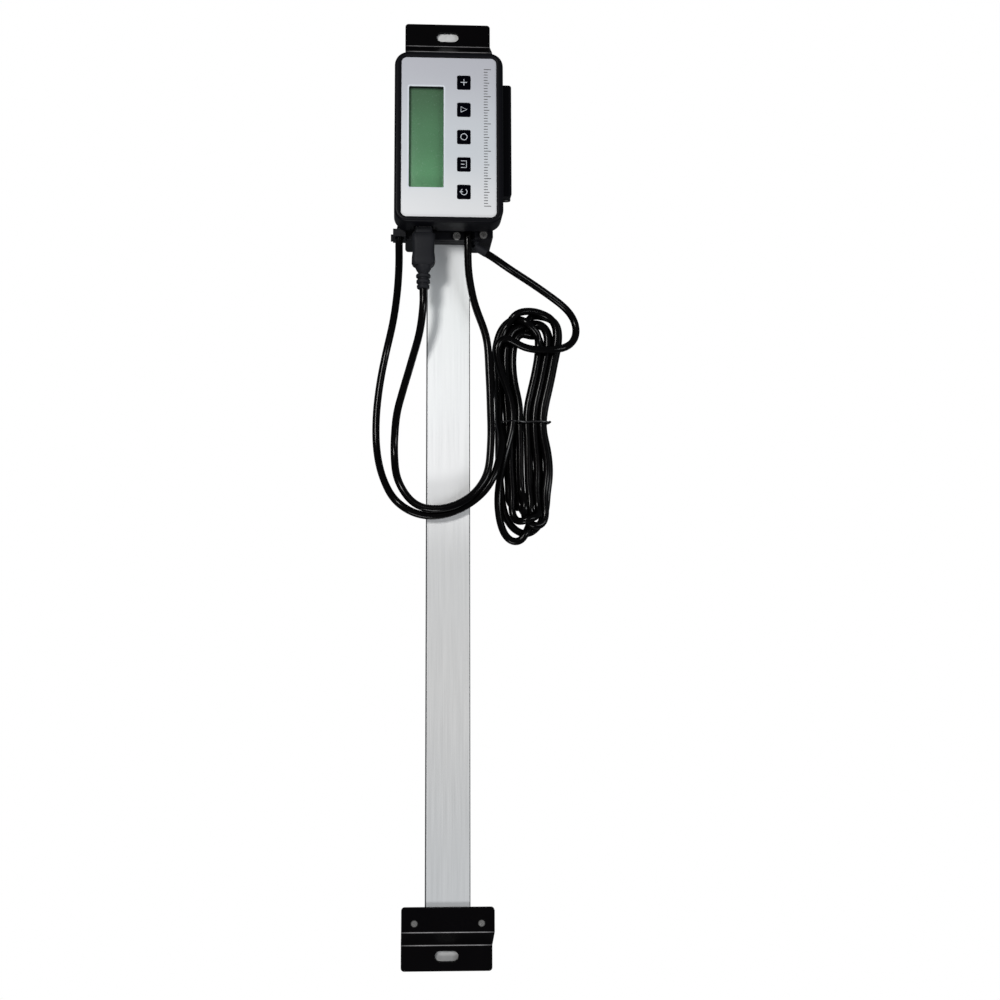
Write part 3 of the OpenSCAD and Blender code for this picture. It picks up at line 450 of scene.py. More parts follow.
class Surface:
    """A Principled material whose colour, roughness and relief vary through the shared groups."""

    groups = {}

    def __init__(self, name, base, accent, roughness, metallic=0.0, coat=0.0, specular=0.5, scale=1.0,
                 grain=900.0, relief=0.2, stretch=(1, 1, 1), wear=None, wear_colour=None, sheen=0.0,
                 alpha=None):
        if not Surface.groups:
            Surface.groups = {"variation": variation_group(), "wear": wear_group()}
        self.material = bpy.data.materials.new(name)
        self.material.use_nodes = True
        self.nodes, self.links = self.material.node_tree.nodes, self.material.node_tree.links
        self.shader = self.nodes["Principled BSDF"]
        self.shader.inputs["Metallic"].default_value = metallic
        self.shader.inputs["Coat Weight"].default_value = coat
        self.shader.inputs["Coat Roughness"].default_value = 0.12
        self.shader.inputs["Specular IOR Level"].default_value = specular
        self.shader.inputs["Sheen Weight"].default_value = sheen
        if alpha is not None:
            self.shader.inputs["Alpha"].default_value = alpha
        self.variation = self.nodes.new("ShaderNodeGroup")
        self.variation.node_tree = Surface.groups["variation"]
        self.variation.inputs["Scale"].default_value = scale
        self.variation.inputs["Grain"].default_value = grain
        self.variation.inputs["Relief"].default_value = relief
        self.variation.inputs["Stretch"].default_value = stretch
        self.links.new(self.variation.outputs["Normal"], self.shader.inputs["Normal"])
        rough = self.nodes.new("ShaderNodeMapRange")
        rough.inputs["From Min"].default_value = 0.3
        rough.inputs["From Max"].default_value = 0.7
        rough.inputs["To Min"].default_value, rough.inputs["To Max"].default_value = roughness
        self.links.new(self.variation.outputs["Fine"], rough.inputs["Value"])
        self.links.new(rough.outputs[0], self.shader.inputs["Roughness"])
        self.colour = self.mix(self.variation.outputs["Broad"], base, accent)
        if wear:
            mask = self.nodes.new("ShaderNodeGroup")
            mask.node_tree = Surface.groups["wear"]
            mask.inputs["Amount"].default_value = wear
            self.colour = self.mix(mask.outputs["Mask"], self.colour, wear_colour)
        self.links.new(self.colour, self.shader.inputs["Base Color"])

    def mix(self, factor, first, second):
        """Blends two colours, each a socket or three numbers, and returns the result's socket."""
        blend = self.nodes.new("ShaderNodeMix")
        blend.data_type = "RGBA"
        self.links.new(factor, blend.inputs["Factor"])
        for label, colour in (("A", first), ("B", second)):
            socket = next(s for s in blend.inputs if s.name == label and s.type == "RGBA")
            if isinstance(colour, (tuple, list)):
                socket.default_value = (*colour[:3], 1)
            else:
                self.links.new(colour, socket)
        return next(s for s in blend.outputs if s.type == "RGBA")

    def fold_highlights(self, places, reach, half_width):
        """Painted highlight: a pale thin line on each fold, where the bend catches the light, at these
        distances along the scale.
        """
        place = self.nodes.new("ShaderNodeTexCoord")
        split = self.nodes.new("ShaderNodeSeparateXYZ")
        self.links.new(place.outputs["Object"], split.inputs[0])
        highlight_breakup = self.nodes.new("ShaderNodeTexNoise")
        highlight_breakup.inputs["Scale"].default_value = 260
        self.links.new(place.outputs["Object"], highlight_breakup.inputs["Vector"])
        for at in places:
            away = self.math("ABSOLUTE", split.outputs[1])
            away = self.math("ABSOLUTE", self.math("SUBTRACT", away, at))
            line = self.nodes.new("ShaderNodeMapRange")
            line.inputs["From Min"].default_value = reach
            line.inputs["From Max"].default_value = reach * 0.25
            self.links.new(away, line.inputs["Value"])
            ends = self.nodes.new("ShaderNodeMapRange")
            ends.inputs["From Min"].default_value = half_width
            ends.inputs["From Max"].default_value = half_width * 0.765
            ends.inputs["To Min"].default_value = 0.35
            self.links.new(self.math("ABSOLUTE", split.outputs[0]), ends.inputs["Value"])
            patchy = self.math("ADD", highlight_breakup.outputs["Fac"], 0.35)
            mask = self.math("MULTIPLY", line.outputs[0], self.math("MULTIPLY", ends.outputs[0], patchy))
            # pale colour of the painted highlight lines
            self.colour = self.mix(mask, self.colour, (0.42, 0.41, 0.42))
        self.links.new(self.colour, self.shader.inputs["Base Color"])
        return self

    def math(self, operation, first, second=None):
        """One calculation node; each value is a socket or a number."""
        node = self.nodes.new("ShaderNodeMath")
        node.operation = operation
        for index, value in enumerate((first, second)):
            if isinstance(value, (int, float)):
                node.inputs[index].default_value = value
            elif value is not None:
                self.links.new(value, node.inputs[index])
        return node.outputs[0]

    def along(self, axis, low, high, stops):
        """Painted light and shade: the colour runs through stops between two places on an axis, tinted by
        what it was.
        """
        place = self.nodes.new("ShaderNodeTexCoord")
        split = self.nodes.new("ShaderNodeSeparateXYZ")
        self.links.new(place.outputs["Object"], split.inputs[0])
        where = self.nodes.new("ShaderNodeMapRange")
        where.inputs["From Min"].default_value = low
        where.inputs["From Max"].default_value = high
        self.links.new(split.outputs[axis], where.inputs["Value"])
        ramp = self.nodes.new("ShaderNodeValToRGB")
        ramp.color_ramp.interpolation = "EASE"
        for index, (at, colour) in enumerate(stops):
            stop = ramp.color_ramp.elements[index] if index < 2 else ramp.color_ramp.elements.new(at)
            stop.position, stop.color = at, (*colour, 1)
        self.links.new(where.outputs[0], ramp.inputs[0])
        tint = self.nodes.new("ShaderNodeMix")
        tint.data_type, tint.blend_type = "RGBA", "MULTIPLY"
        tint.inputs["Factor"].default_value = 1
        sockets = [s for s in tint.inputs if s.type == "RGBA"]
        self.links.new(self.colour, sockets[0])
        self.links.new(ramp.outputs["Color"], sockets[1])
        self.colour = next(s for s in tint.outputs if s.type == "RGBA")
        self.links.new(self.colour, self.shader.inputs["Base Color"])
        return self


MATERIALS = {}


def build_materials():
    """Every finish of the object, by the name that the pieces use for it."""
    look = settings()
    made = {
        # Painted light and shade: the strip's colour runs lighter over its upper part and darker towards its
        # lower end and just under the head.
        "strip": Surface("Brushed cover strip", (1, 1, 1), (0.94, 0.95, 0.96), (0.34, 0.52), metallic=0.25,
                         scale=2.2, grain=2600, relief=0.35, stretch=(1, 0.012, 1)).along(
            1, -0.19, 0.11, [(0, (0.65, 0.66, 0.67)), (1, (0.74, 0.75, 0.76)), (0.33, (0.70, 0.695, 0.69)),
                             (0.5, (0.665, 0.665, 0.665)), (0.64, (0.92, 0.92, 0.925)),
                             (0.76, (0.92, 0.93, 0.935)), (0.88, (0.9, 0.92, 0.92))]),
        "beam": Surface("Anodised beam", (0.30, 0.30, 0.31), (0.36, 0.36, 0.37), (0.3, 0.45), metallic=0.9,
                        grain=2200, relief=0.25, stretch=(1, 0.02, 1)),
        "grating": Surface("Grating laminate", (0.30, 0.20, 0.07), (0.36, 0.25, 0.1), (0.3, 0.4), coat=0.3),
        # Black coated sheet with painted highlights: a pale line along each of its two bends.
        "bracket": Surface("Black coated sheet", (0.0016, 0.0014, 0.0018), (0.0026, 0.0022, 0.0026),
                           (0.3, 0.42), grain=1500, relief=0.12, specular=0.03, wear=0.05,
                           wear_colour=(0.16, 0.15, 0.15)).fold_highlights(
            [196.4 * MM, 205.2 * MM], 0.34 * MM, 19.6 * MM),
        "screw": Surface("Zinc screw", (0.30, 0.295, 0.285), (0.40, 0.39, 0.38), (0.2, 0.34), metallic=0.7,
                         grain=2400, relief=0.2),
        "head": Surface("Head plastic", (0.004, 0.004, 0.0055), (0.007, 0.007, 0.009), (0.42, 0.58),
                        grain=2600, relief=0.3, specular=0.12, wear=0.06, wear_colour=(0.1, 0.1, 0.11)),
        "case": Surface("Case plastic", tuple(look.case_colour), (0.004, 0.004, 0.0056), (0.34, 0.46),
                        grain=3000, relief=0.22, specular=0.09, wear=0.04, wear_colour=(0.1, 0.1, 0.11)),
        "key": Surface("Key rubber", (0.0004, 0.0004, 0.0016), (0.0008, 0.0008, 0.0028), (0.42, 0.55),
                       grain=2800, relief=0.15, specular=0.01),
        # Painted shade: the film's colour runs darker from its lower end towards its upper end.
        "overlay": Surface("Face film", (0.97, 0.98, 1.0), (1, 1, 1), (0.36, 0.46), metallic=0.15, grain=3200,
                           relief=0.12).along(
            1, 0.110, 0.182, [(0, (0.775, 0.78, 0.79)), (1, (0.52, 0.525, 0.57)),
                              (0.45, (0.625, 0.655, 0.69))]),
        "print": Surface("Grey ink", (0.05, 0.05, 0.055), (0.09, 0.09, 0.095), (0.5, 0.6)),
        "light_print": Surface("Pale ink", (0.62, 0.66, 0.72), (0.72, 0.75, 0.8), (0.45, 0.55)),
        # Painted shade: the liquid crystal's green runs darker towards its upper end.
        "lcd": Surface("Liquid crystal glass", (0.95, 1, 0.95), (1, 1, 1), (0.2, 0.28), coat=0.35, scale=0.8,
                       relief=0.05).along(
            1, 0.123, 0.170, [(0, (0.1, 0.3, 0.136)), (1, (0.048, 0.13, 0.058)),
                              (0.5, (0.07, 0.208, 0.094))]),
        "window": Surface("Clear window", (0.5, 0.6, 0.54), (0.56, 0.66, 0.6), (0.05, 0.08), alpha=0.05,
                          relief=0.02),
        "board": Surface("Solder mask", (0.01, 0.09, 0.035), (0.02, 0.12, 0.05), (0.25, 0.4), coat=0.4),
        "sensor": Surface("Sensor block", (0.02, 0.02, 0.024), (0.03, 0.03, 0.034), (0.2, 0.3)),
        "felt": Surface("Wiper felt", (0.03, 0.03, 0.032), (0.06, 0.06, 0.06), (0.9, 1), grain=3600,
                        relief=0.8, sheen=0.4),
        "guide": Surface("Guide plastic", (0.55, 0.52, 0.42), (0.62, 0.6, 0.5), (0.35, 0.45)),
        "plug": Surface("Plug rubber", (0.008, 0.0084, 0.011), (0.012, 0.0125, 0.0155), (0.5, 0.66),
                        grain=3000, relief=0.35, specular=0.16),
        "jacket": Surface("Cable jacket", tuple(look.jacket_colour), (0.0014, 0.0012, 0.0014), (0.15, 0.22),
                          scale=1.5, grain=1400, relief=0.012, specular=0.14),
        "tie": Surface("Twist tie", (0.004, 0.004, 0.005), (0.007, 0.007, 0.008), (0.3, 0.42), grain=2000,
                       relief=0.3),
    }
    MATERIALS.update({name: surface.material for name, surface in made.items()})


NODE_MATERIALS = {
    "beam": ["scale_beam"],
    "grating": ["grating_strip"],
    "strip": ["beam_face_strip"],
    "bracket": ["upper_end_bracket", "lower_end_bracket"],
    "screw": ["upper_clamp_plate", "lower_clamp_plate", "bracket_screws", "lid_screws", "rear_cover_screws",
              "gib_screws", "clamp_screw", "base_magnets", "hinge_pin", "case_screws",
              "battery_contacts", "coin_cell", "data_socket", "plug_shell", "tact_switches"],
    "head": ["clip_screw", "head_housing", "head_lid", "head_rear_cover", "cable_clamp", "cable_clip",
             "display_base_plate"],
    "case": ["display_rear_case", "display_front_case", "battery_cover"],
    "key": ["key_on_off", "key_units", "key_zero", "key_set", "key_abs"],
    "overlay": ["face_overlay"],
    "lcd": ["lcd_module"],
    "window": ["lcd_window"],
    "board": ["reader_board", "display_board"],
    "sensor": ["reader_sensor"],
    "felt": ["end_wipers"],
    "guide": ["slide_pads", "gib_strip"],
    "plug": ["plug_body", "plug_boot", "cable_gland"],
    "jacket": ["cable_tail", "cable_feed", "cable_return", "cable_hank"],
    "tie": ["hank_tie"],
}
# Width in millimetres of the rounding on the edges of these nodes.
SOFT_EDGES = {
    "upper_end_bracket": 0.45, "lower_end_bracket": 0.45, "head_housing": 0.2, "head_lid": 0.25,
    "head_rear_cover": 0.2, "cable_clamp": 0.25, "cable_clip": 0.25, "display_base_plate": 0.25,
    "display_rear_case": 0.2, "battery_cover": 0.12, "bracket_screws": 0.1, "plug_shell": 0.15,
}


def dress_nodes():
    """Gives every carried-over node its material and breaks its sharp edges."""
    for material, names in NODE_MATERIALS.items():
        for name in names:
            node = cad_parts[name]
            node.data.materials.clear()
            node.data.materials.append(MATERIALS[material])
    for name, width in SOFT_EDGES.items():
        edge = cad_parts[name].modifiers.new("Broken edges", "BEVEL")
        edge.width = width * MM
        edge.segments = 3
        edge.limit_method = "ANGLE"
        edge.angle_limit = math.radians(28)
        edge.use_clamp_overlap = True
        edge.harden_normals = True


# --- cable --------------------------------------------------------------------------------


def tapered_plug():
    """The plug's grip and its ringed boot. A section is a place and its shares of the grip's two widths."""
    grip_centre, grip = centre_and_size("plug_body")
    boot_centre = centre_and_size("plug_boot")[0]
    top = grip_centre.y + grip.y / 2
    shoulder = grip_centre.y - grip.y / 2
    sections = [(top + 2.6 * MM, 0.76, 0.66), (top + 0.1 * MM, 0.78, 0.68), (top, 0.93, 0.88),
                (top - 0.5 * MM, 1, 1), (top - 3 * MM, 1, 1), (top - 4.2 * MM, 0.95, 0.98),
                (top - 8.5 * MM, 0.93, 0.96), (top - 10.5 * MM, 0.99, 1), (shoulder + 1.6 * MM, 1, 1),
                (shoulder + 0.5 * MM, 0.9, 0.97), (shoulder, 0.8, 0.9)]
    loops = []
    for y, wide, thick in sections:
        flat = rounded_loop(grip.x * wide, grip.z * thick, 2 * MM * thick, 0, steps=6)
        loops.append([(grip_centre.x + x, y, grip_centre.z + z) for x, z, _ in flat])
    verts, faces = skin(loops)
    body = add_piece("plug_grip", verts, faces, MATERIALS["plug"], "display", ["plug_body"],
                     sharp=50)
    # Rings of the boot, in millimetres: distance from the grip's shoulder and radius.
    rings = [(0, 3.6), (0.9, 3.5), (2.2, 2.9), (2.9, 2.35), (3.5, 2.3), (3.8, 3.0), (4.2, 3.2), (5.0, 3.2),
             (5.3, 2.9), (5.5, 2.3), (6.1, 2.3), (6.3, 2.9), (6.7, 3.05), (7.5, 3.05), (7.8, 2.8),
             (8.0, 2.25), (8.5, 2.25), (8.7, 2.75), (9.1, 2.85), (9.9, 2.75), (10.3, 2.2), (10.3, 1.75)]
    turn = [2 * math.pi * s / 32 for s in range(32)]
    loops = [[(boot_centre.x + r * MM * math.cos(a), shoulder - d * MM, boot_centre.z + r * MM * math.sin(a))
              for a in turn] for d, r in rings]
    verts, faces = skin(loops)
    ribs = add_piece("plug_ribs", verts, faces, MATERIALS["plug"], "display", ["plug_boot"],
                     sharp=55)
    return [body, ribs]


def hank_tie():
    """A thin tie drawn round the hank, its two ends twisted together at the right."""
    outline = [(22.0, 1.0), (22.0, 3.2), (23.6, 6.4), (27.6, 8.6), (29.6, 10.6), (31.6, 8.8), (35, 7.4),
               (40, 7.4), (44.6, 6.6), (46.4, 4), (46.2, 1.2), (44.4, 0.65), (34, 0.5), (24, 0.65),
               (22.0, 1.0)]
    path = smooth_path([(x, TIE_Y + 0.25 * math.sin(x), z) for x, z in outline], 0.4)
    verts, faces = tube([p * MM for p in path], 0.42 * MM, 8)
    ring = add_piece("tie_ring", verts, faces, MATERIALS["tie"], "reader_head", ["hank_tie"])
    twist = [(45.9 + 0.22 * k, TIE_Y + 0.3 * math.sin(2.2 * k) + 0.1 * k, 4.4 + 0.3 * math.cos(2.2 * k))
             for k in range(6)]
    verts, faces = tube([p * MM for p in smooth_path(twist, 0.3)], 0.45 * MM, 8)
    knot = add_piece("tie_twist", verts, faces, MATERIALS["tie"], "reader_head")
    return [ring, knot]


def plug_lead(look):
    """The short lead from the plug, which runs between the display and the head."""
    plug_end, head_end = Vector(TAIL[0]) * MM, Vector(TAIL[-1]) * MM
    line = [p * MM for p in smooth_path(TAIL + [FEED[1]], 1.0)]
    seam = nearest(line, head_end)
    line = [plug_end + Vector((0, 1.5 * MM, 0))] + line[:seam + 2]
    verts, faces = tube(line, look.cable_diameter / 2, look.jacket_sides)
    lead = add_piece("cable_plug_end", verts, faces, MATERIALS["jacket"], None, ["cable_tail"])
    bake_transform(lead)
    return lead


def cable_line(look):
    """The middle line of the rest of the cable, in metres, with its strands a diameter apart."""
    line = smooth_path([TAIL[-2]] + FEED + hank_points() + RETURN, 1.1, rounds=6)
    line = line[nearest(line[:40], Vector(TAIL[-1])):]
    return [p * MM for p in settle(line, look.cable_diameter / MM, held=6, floor=1.75, wall=22, bend=5.6)]


class SCALE_OT_cable(bpy.types.Operator):
    """Lay the data cable from the plug through the clip and the hank to the gland"""

    bl_idname = "scale.cable"
    bl_label = "Lay the cable"

    def execute(self, context):
        look = settings()
        plug = tapered_plug()
        lead = plug_lead(look)
        line = cable_line(look)
        curve = bpy.data.curves.new("cable_run", "CURVE")
        curve.dimensions = "3D"
        curve.bevel_depth = look.cable_diameter / 2
        curve.bevel_resolution = look.jacket_sides // 4
        curve.use_fill_caps = True
        spline = curve.splines.new("POLY")
        spline.points.add(len(line) - 1)
        for point, at in zip(spline.points, line):
            point.co = (*at, 1)
        spline.use_smooth = True
        curve.materials.append(MATERIALS["jacket"])
        run = bpy.data.objects.new("cable_run", curve)
        context.scene.collection.objects.link(run)
        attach(run, "reader_head")
        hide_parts("cable_feed", "cable_return", "cable_hank")
        tie = hank_tie()
        return {"FINISHED"}


# --- display ------------------------------------------------------------------------------


# Thickness of the face plate, the ink's underside and top from the top of the film, and how much the opening
# in the film is smaller than the window.
PLATE = 1.5 * MM
INK = (-0.01 * MM, 0.015 * MM)
WINDOW_LAP = 1.6 * MM


def front_bezel():
    """The front half of the case: a rounded rim round a recessed face."""
    centre, size = centre_and_size("display_front_case")
    film_centre, film = centre_and_size("face_overlay")
    low, high = centre.z - size.z / 2, centre.z + size.z / 2
    at = (centre.x, centre.y)
    inner_w, inner_l = film.x + 0.2 * MM, film.y + 0.2 * MM
    face = film_centre.z - film.z / 2
    rim, inner_rim, corner, inner_corner = settings().rim_radius, 0.5 * MM, 6 * MM, 2.4 * MM
    loops = [rounded_loop(size.x - 3.6 * MM, size.y - 3.6 * MM, 4.2 * MM, low, at),
             rounded_loop(size.x, size.y, corner, low, at),
             rounded_loop(size.x, size.y, corner, high - rim, at)]
    for k in range(1, 6):
        angle = math.radians(90 * k / 5)
        inset = rim * (1 - math.cos(angle))
        loops.append(rounded_loop(size.x - 2 * inset, size.y - 2 * inset, corner - inset,
                                  high - rim + rim * math.sin(angle), at))
    for k in range(4):
        angle = math.radians(90 * k / 3)
        grow = inner_rim * (1 - math.sin(angle))
        loops.append(rounded_loop(inner_w + 2 * grow, inner_l + 2 * grow, inner_corner + grow,
                                  high - inner_rim * (1 - math.cos(angle)), at))
    loops.append(rounded_loop(inner_w, inner_l, inner_corner, face, at))
    loops.append(rounded_loop(inner_w, inner_l, inner_corner, face - PLATE, at))
    verts, faces = skin(loops + [loops[0]], False, False)
    add_piece("display_bezel", verts, faces, MATERIALS["case"], "display",
              ["display_front_case"], sharp=50)
    return at, face, (inner_w, inner_l, inner_corner)


def openings():
    """Outlines of the window and the keys on the display's face."""
    window, wide = centre_and_size("lcd_window")
    outlines = [rounded_loop(wide.x - WINDOW_LAP, wide.y - WINDOW_LAP, 0.5 * MM, 0, (window.x, window.y))]
    for name in KEYS:
        at, size = centre_and_size(name)
        outlines.append(rounded_loop(size.x - 0.8 * MM, size.y - 0.8 * MM, 0.7 * MM, 0, (at.x, at.y)))
    return [list(reversed(o)) for o in outlines]


def face_and_plate(at, face, inner):
    """The case's face plate and the printed film on it, both cut out for the window and the keys."""
    film = centre_and_size("face_overlay")[1]
    plate = flat_sheet("display_face_plate", [rounded_loop(*inner, 0, at)] + openings(), face - PLATE,
                       face, 0.05 * MM)
    finish_piece(plate, MATERIALS["case"], "display", smooth=False)
    overlay = flat_sheet("display_face_film",
                         [rounded_loop(film.x, film.y, 2.4 * MM, 0, at, steps=10)] + openings(), face,
                         face + film.z, 0.06 * MM)
    finish_piece(overlay, MATERIALS["overlay"], "display", ["face_overlay"], smooth=False)


def window_frame(film_top):
    """A pale printed line round the window."""
    window, wide = centre_and_size("lcd_window")
    at = (window.x, window.y)
    inner_w, inner_l = wide.x - WINDOW_LAP + 0.1 * MM, wide.y - WINDOW_LAP + 0.1 * MM
    outer_w, outer_l = inner_w + 1.2 * MM, inner_l + 1.2 * MM
    low, high = film_top + INK[0], film_top + INK[1]
    loops = [rounded_loop(outer_w, outer_l, 1 * MM, low, at),
             rounded_loop(outer_w, outer_l, 1 * MM, high, at),
             rounded_loop(inner_w, inner_l, 0.5 * MM, high, at)]
    verts, faces = skin(loops, False, False)
    add_piece("window_frame_print", verts, faces, MATERIALS["light_print"], "display")


def printed_rule(at, film_top):
    """A fine graduated rule printed beside the keys."""
    near_edge, count, pitch, thick = at[0] + 15.3 * MM, 51, 1.24 * MM, 0.34 * MM
    verts, faces = [], []

    def bar(x_low, x_high, y_low, y_high):
        base = len(verts)
        for z in (film_top + INK[0], film_top + INK[1]):
            verts.extend([(x_low, y_low, z), (x_high, y_low, z), (x_high, y_high, z), (x_low, y_high, z)])
        faces.extend([(base + 4, base + 5, base + 6, base + 7), (base, base + 1, base + 5, base + 4),
                      (base + 1, base + 2, base + 6, base + 5), (base + 2, base + 3, base + 7, base + 6),
                      (base + 3, base, base + 4, base + 7), (base + 3, base + 2, base + 1, base)])

    first = at[1] - pitch * (count - 1) / 2
    for k in range(count):
        reach = (3.1 if k % 10 == 0 else 2.4 if k % 5 == 0 else 1.7) * MM
        y = first + k * pitch
        bar(near_edge, near_edge + reach, y - thick / 2, y + thick / 2)
    add_piece("face_rule_print", verts, faces, MATERIALS["print"], "display", smooth=False)


def ring(radius, start=0, end=360, steps=24):
    """Points of an arc about the origin, between two angles in degrees."""
    angles = [math.radians(start + (end - start) * k / steps) for k in range(steps + 1)]
    return [(radius * math.cos(a), radius * math.sin(a)) for a in angles]


def key_marks(index):
    """Outlines, in millimetres from a key's middle, of the plain mark on it."""
    return [
        [ring(1.35, 125, 415), [(-1.9, 0), (-0.4, 0)]],
        [[(-1.3, -1.5), (1.1, -1.5), (1.1, 1.5), (-1.3, 1.5)], [(-1.3, 0), (0.2, 0)]],
        [ring(1.4)],
        [[(-1.3, -1.2), (1.3, 0), (-1.3, 1.2), (-1.3, -1.2)]],
        [[(-1.4, 0), (1.4, 0)], [(0, -1.4), (0, 1.4)]],
    ][index]


def key_cap(name):
    """A key's cap on its stem, with a flange that stays under the face."""
    centre, size = centre_and_size(name)
    at, top, low = (centre.x, centre.y), centre.z + size.z / 2, centre.z - size.z / 2
    cap_w, cap_l, corner, edge = size.x - MM, size.y - MM, 0.6 * MM, 0.35 * MM
    stem, flange_low, flange_high = 2.2 * MM, top - 3.0 * MM, top - 2.4 * MM
    loops = [rounded_loop(stem, stem, 1.05 * MM, low, at, 5),
             rounded_loop(stem, stem, 1.05 * MM, flange_low, at, 5),
             rounded_loop(size.x, size.y, corner, flange_low, at, 5),
             rounded_loop(size.x, size.y, corner, flange_high, at, 5),
             rounded_loop(cap_w, cap_l, corner, flange_high, at, 5),
             rounded_loop(cap_w, cap_l, corner, top - edge, at, 5)]
    for k in range(1, 5):
        angle = math.radians(90 * k / 4)
        inset = edge * (1 - math.cos(angle))
        loops.append(rounded_loop(cap_w - 2 * inset, cap_l - 2 * inset, corner - inset,
                                  top - edge * (1 - math.sin(angle)), at, 5))
    verts, faces = skin(loops)
    add_piece(f"{name}_cap", verts, faces, MATERIALS["key"], name, [name], sharp=50)
    return centre.x, centre.y, top


def keys():
    """The five keys, each with the pale mark on its top."""
    for index, name in enumerate(KEYS):
        x0, y0, top = key_cap(name)
        verts, faces = [], []
        for line in key_marks(index):
            path = [Vector((x0 + x * MM, y0 + y * MM, top - 0.02 * MM)) for x, y in line]
            more, sides = tube(path, 0.16 * MM, 6)
            faces += [tuple(corner + len(verts) for corner in side) for side in sides]
            verts += more
        add_piece(f"{name}_mark", verts, faces, MATERIALS["light_print"], name)


def display_slab(piece, node, edge, material):
    """A slab with rounded edges and the box of a node, which it stands for."""
    centre, size = centre_and_size(node)
    verts, faces = rounded_slab(size.x, size.y, 0.5 * MM, centre.z - size.z / 2, centre.z + size.z / 2, edge,
                                (centre.x, centre.y))
    add_piece(piece, verts, faces, MATERIALS[material], "display", [node])


def window_and_glass():
    """The clear window with its bevelled edge, and the liquid crystal glass under it."""
    display_slab("display_window_pane", "lcd_window", 0.12 * MM, "window")
    display_slab("display_glass", "lcd_module", 0.2 * MM, "lcd")


class SCALE_OT_display(bpy.types.Operator):
    """Build the display's rim, face, window, keys and printing"""

    bl_idname = "scale.display"
    bl_label = "Build the display"

    def execute(self, context):
        at, face, inner = front_bezel()
        face_and_plate(at, face, inner)
        film_top = face + centre_and_size("face_overlay")[1].z
        window_frame(film_top)
        printed_rule(at, film_top)
        window_and_glass()
        keys()
        return {"FINISHED"}


class SCALE_OT_surfaces(bpy.types.Operator):
    """Make the materials and dress every part of the frame"""

    bl_idname = "scale.surfaces"
    bl_label = "Dress the frame"

    def execute(self, context):
        build_materials()
        dress_nodes()
        return {"FINISHED"}


# --- stage --------------------------------------------------------------------------------


def area_light(name, place, aim, size, power, colour=(1, 1, 1)):
    """A rectangular lamp that faces a point."""
    light = bpy.data.lights.new(name, "AREA")
    light.shape = "RECTANGLE"
    light.size, light.size_y = size
    light.energy = power
    light.color = colour
    lamp = bpy.data.objects.new(name, light)
    lamp.location = place
    lamp.rotation_euler = (Vector(aim) - Vector(place)).to_track_quat("-Z", "Y").to_euler()
    bpy.context.scene.collection.objects.link(lamp)


def camera():
    """A camera high above the scale, a little to its left and tilted along it."""
    view = bpy.data.cameras.new("Camera")
    view.sensor_width = 36
    view.lens = 39.6
    view.shift_x = 0.0608
    view.shift_y = -0.0051
    view.clip_start = 0.01
    holder = bpy.data.objects.new("Camera", view)
    holder.location = (-0.02316, -0.05706, 0.49785)
    holder.rotation_euler = (0.09877, -0.03953, 0.00184)
    bpy.context.scene.collection.objects.link(holder)
    bpy.context.scene.camera = holder


def world_light():
    """White behind the object, and a weak cool light from all round on its surfaces."""
    world = bpy.data.worlds.new("Studio")
    bpy.context.scene.world = world
    world.use_nodes = True
    nodes, links = world.node_tree.nodes, world.node_tree.links
    nodes.clear()
    seen = nodes.new("ShaderNodeBackground")
    seen.inputs["Color"].default_value = (1, 1, 1, 1)
    room = nodes.new("ShaderNodeBackground")
    room.inputs["Color"].default_value = (0.9, 0.95, 1, 1)
    room.inputs["Strength"].default_value = 0.12
    ray = nodes.new("ShaderNodeLightPath")
    choose = nodes.new("ShaderNodeMixShader")
    out = nodes.new("ShaderNodeOutputWorld")
    links.new(ray.outputs["Is Camera Ray"], choose.inputs[0])
    links.new(room.outputs[0], choose.inputs[1])
    links.new(seen.outputs[0], choose.inputs[2])
    links.new(choose.outputs[0], out.inputs["Surface"])


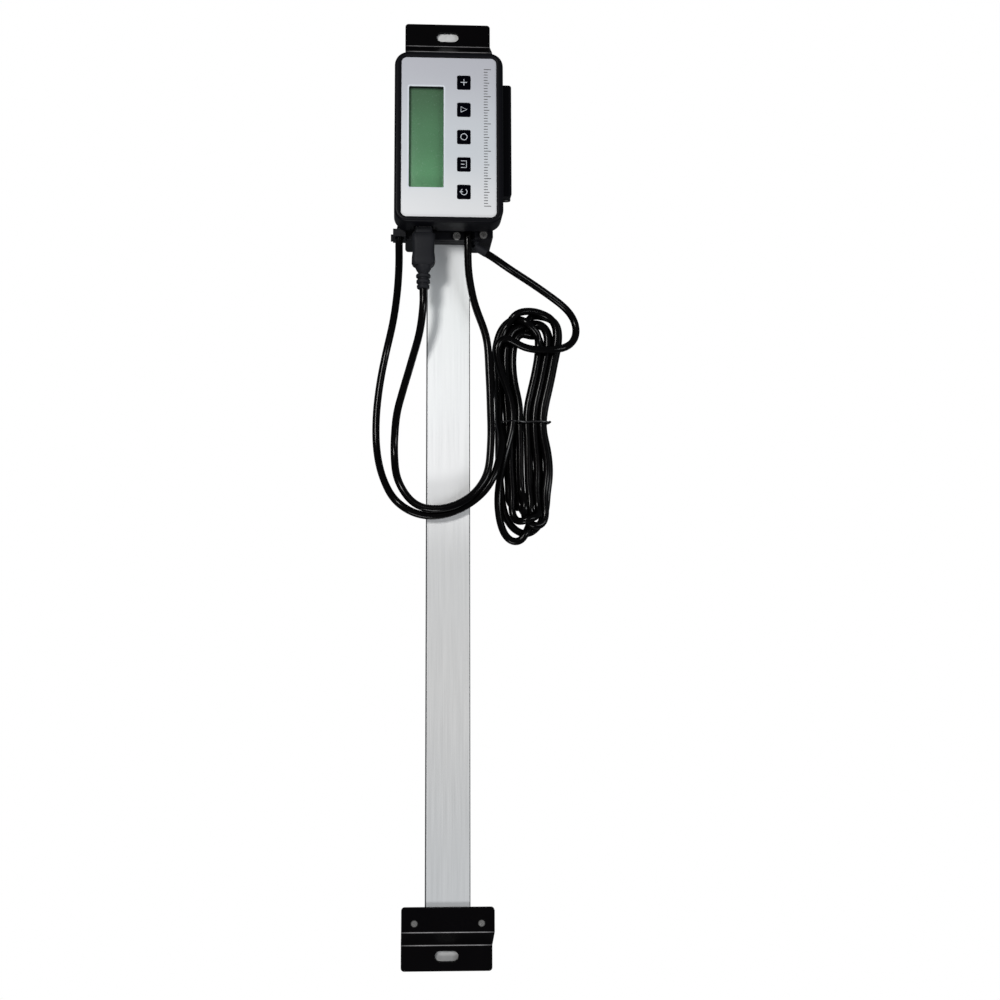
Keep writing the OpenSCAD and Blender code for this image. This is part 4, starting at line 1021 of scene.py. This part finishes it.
def slot_cards():
    """Grey cards under the two mounting slots, standing for the bench that shows through them; their colour
    is painted shade, darker under the lower slot.
    """
    width, length, corner, edge, slot_y = 13 * MM, 7 * MM, 2 * MM, 0.1 * MM, 210 * MM
    # Painted shade: each card's colour stands for the bench in shade under its bracket, the lower one darker.
    for name, side, shaded_grey in (("card_upper", 1, 0.66), ("card_lower", -1, 0.38)):
        paper = Surface(name, [shaded_grey * 0.85] * 3, [shaded_grey * 1.15] * 3, (0.6, 0.8), scale=9, relief=0.3)
        verts, faces = rounded_slab(width, length, corner, -0.8 * MM, -0.3 * MM, edge, (0, side * slot_y))
        mesh = bpy.data.meshes.new(name)
        mesh.from_pydata(verts, [], faces)
        mesh.materials.append(paper.material)
        card = bpy.data.objects.new(name, mesh)
        bpy.context.scene.collection.objects.link(card)


class SCALE_OT_stage(bpy.types.Operator):
    """Set up the camera, lights, world and render settings"""

    bl_idname = "scale.stage"
    bl_label = "Set the stage"

    def execute(self, context):
        camera()
        area_light("Key", (-0.34, 0.26, 0.80), (0, 0.04, 0), (0.20, 0.14), 4.3, (1, 0.99, 0.97))
        area_light("Fill", (-0.20, -0.92, 0.52), (0, -0.02, 0), (0.40, 0.20), 4.4)
        area_light("Side", (0.56, -0.02, 0.52), (0, 0, 0), (0.08, 0.44), 1.9, (0.96, 0.98, 1))
        world_light()
        slot_cards()
        scene = context.scene
        scene.render.engine = "CYCLES"
        scene.cycles.samples = 160
        scene.cycles.use_denoising = True
        scene.render.resolution_x = scene.render.resolution_y = 1000
        scene.view_settings.view_transform = "Standard"
        return {"FINISHED"}


class SCALE_PT_panel(bpy.types.Panel):
    """Buttons that build each group of pieces"""

    bl_idname = "SCALE_PT_panel"
    bl_label = "Linear scale"
    bl_space_type = "VIEW_3D"
    bl_region_type = "UI"
    bl_category = "Scale"

    def draw(self, context):
        for name in ("cable_diameter", "cable_length", "rim_radius", "jacket_sides", "jacket_colour",
                     "case_colour"):
            self.layout.prop(context.scene.scale_look, name)
        for operator in ("scale.surfaces", "scale.stage", "scale.cable", "scale.display"):
            self.layout.operator(operator)


CLASSES = (ScaleLookSettings, SCALE_OT_surfaces, SCALE_OT_stage, SCALE_OT_cable, SCALE_OT_display,
           SCALE_PT_panel)


def register():
    for item in CLASSES:
        bpy.utils.register_class(item)
    bpy.types.Scene.scale_look = bpy.props.PointerProperty(type=ScaleLookSettings)


def unregister():
    del bpy.types.Scene.scale_look
    for item in reversed(CLASSES):
        bpy.utils.unregister_class(item)


def main():
    register()
    bpy.ops.scale.surfaces()
    bpy.ops.scale.stage()
    bpy.ops.scale.cable()
    bpy.ops.scale.display()


if __name__ == "__main__":
    main()
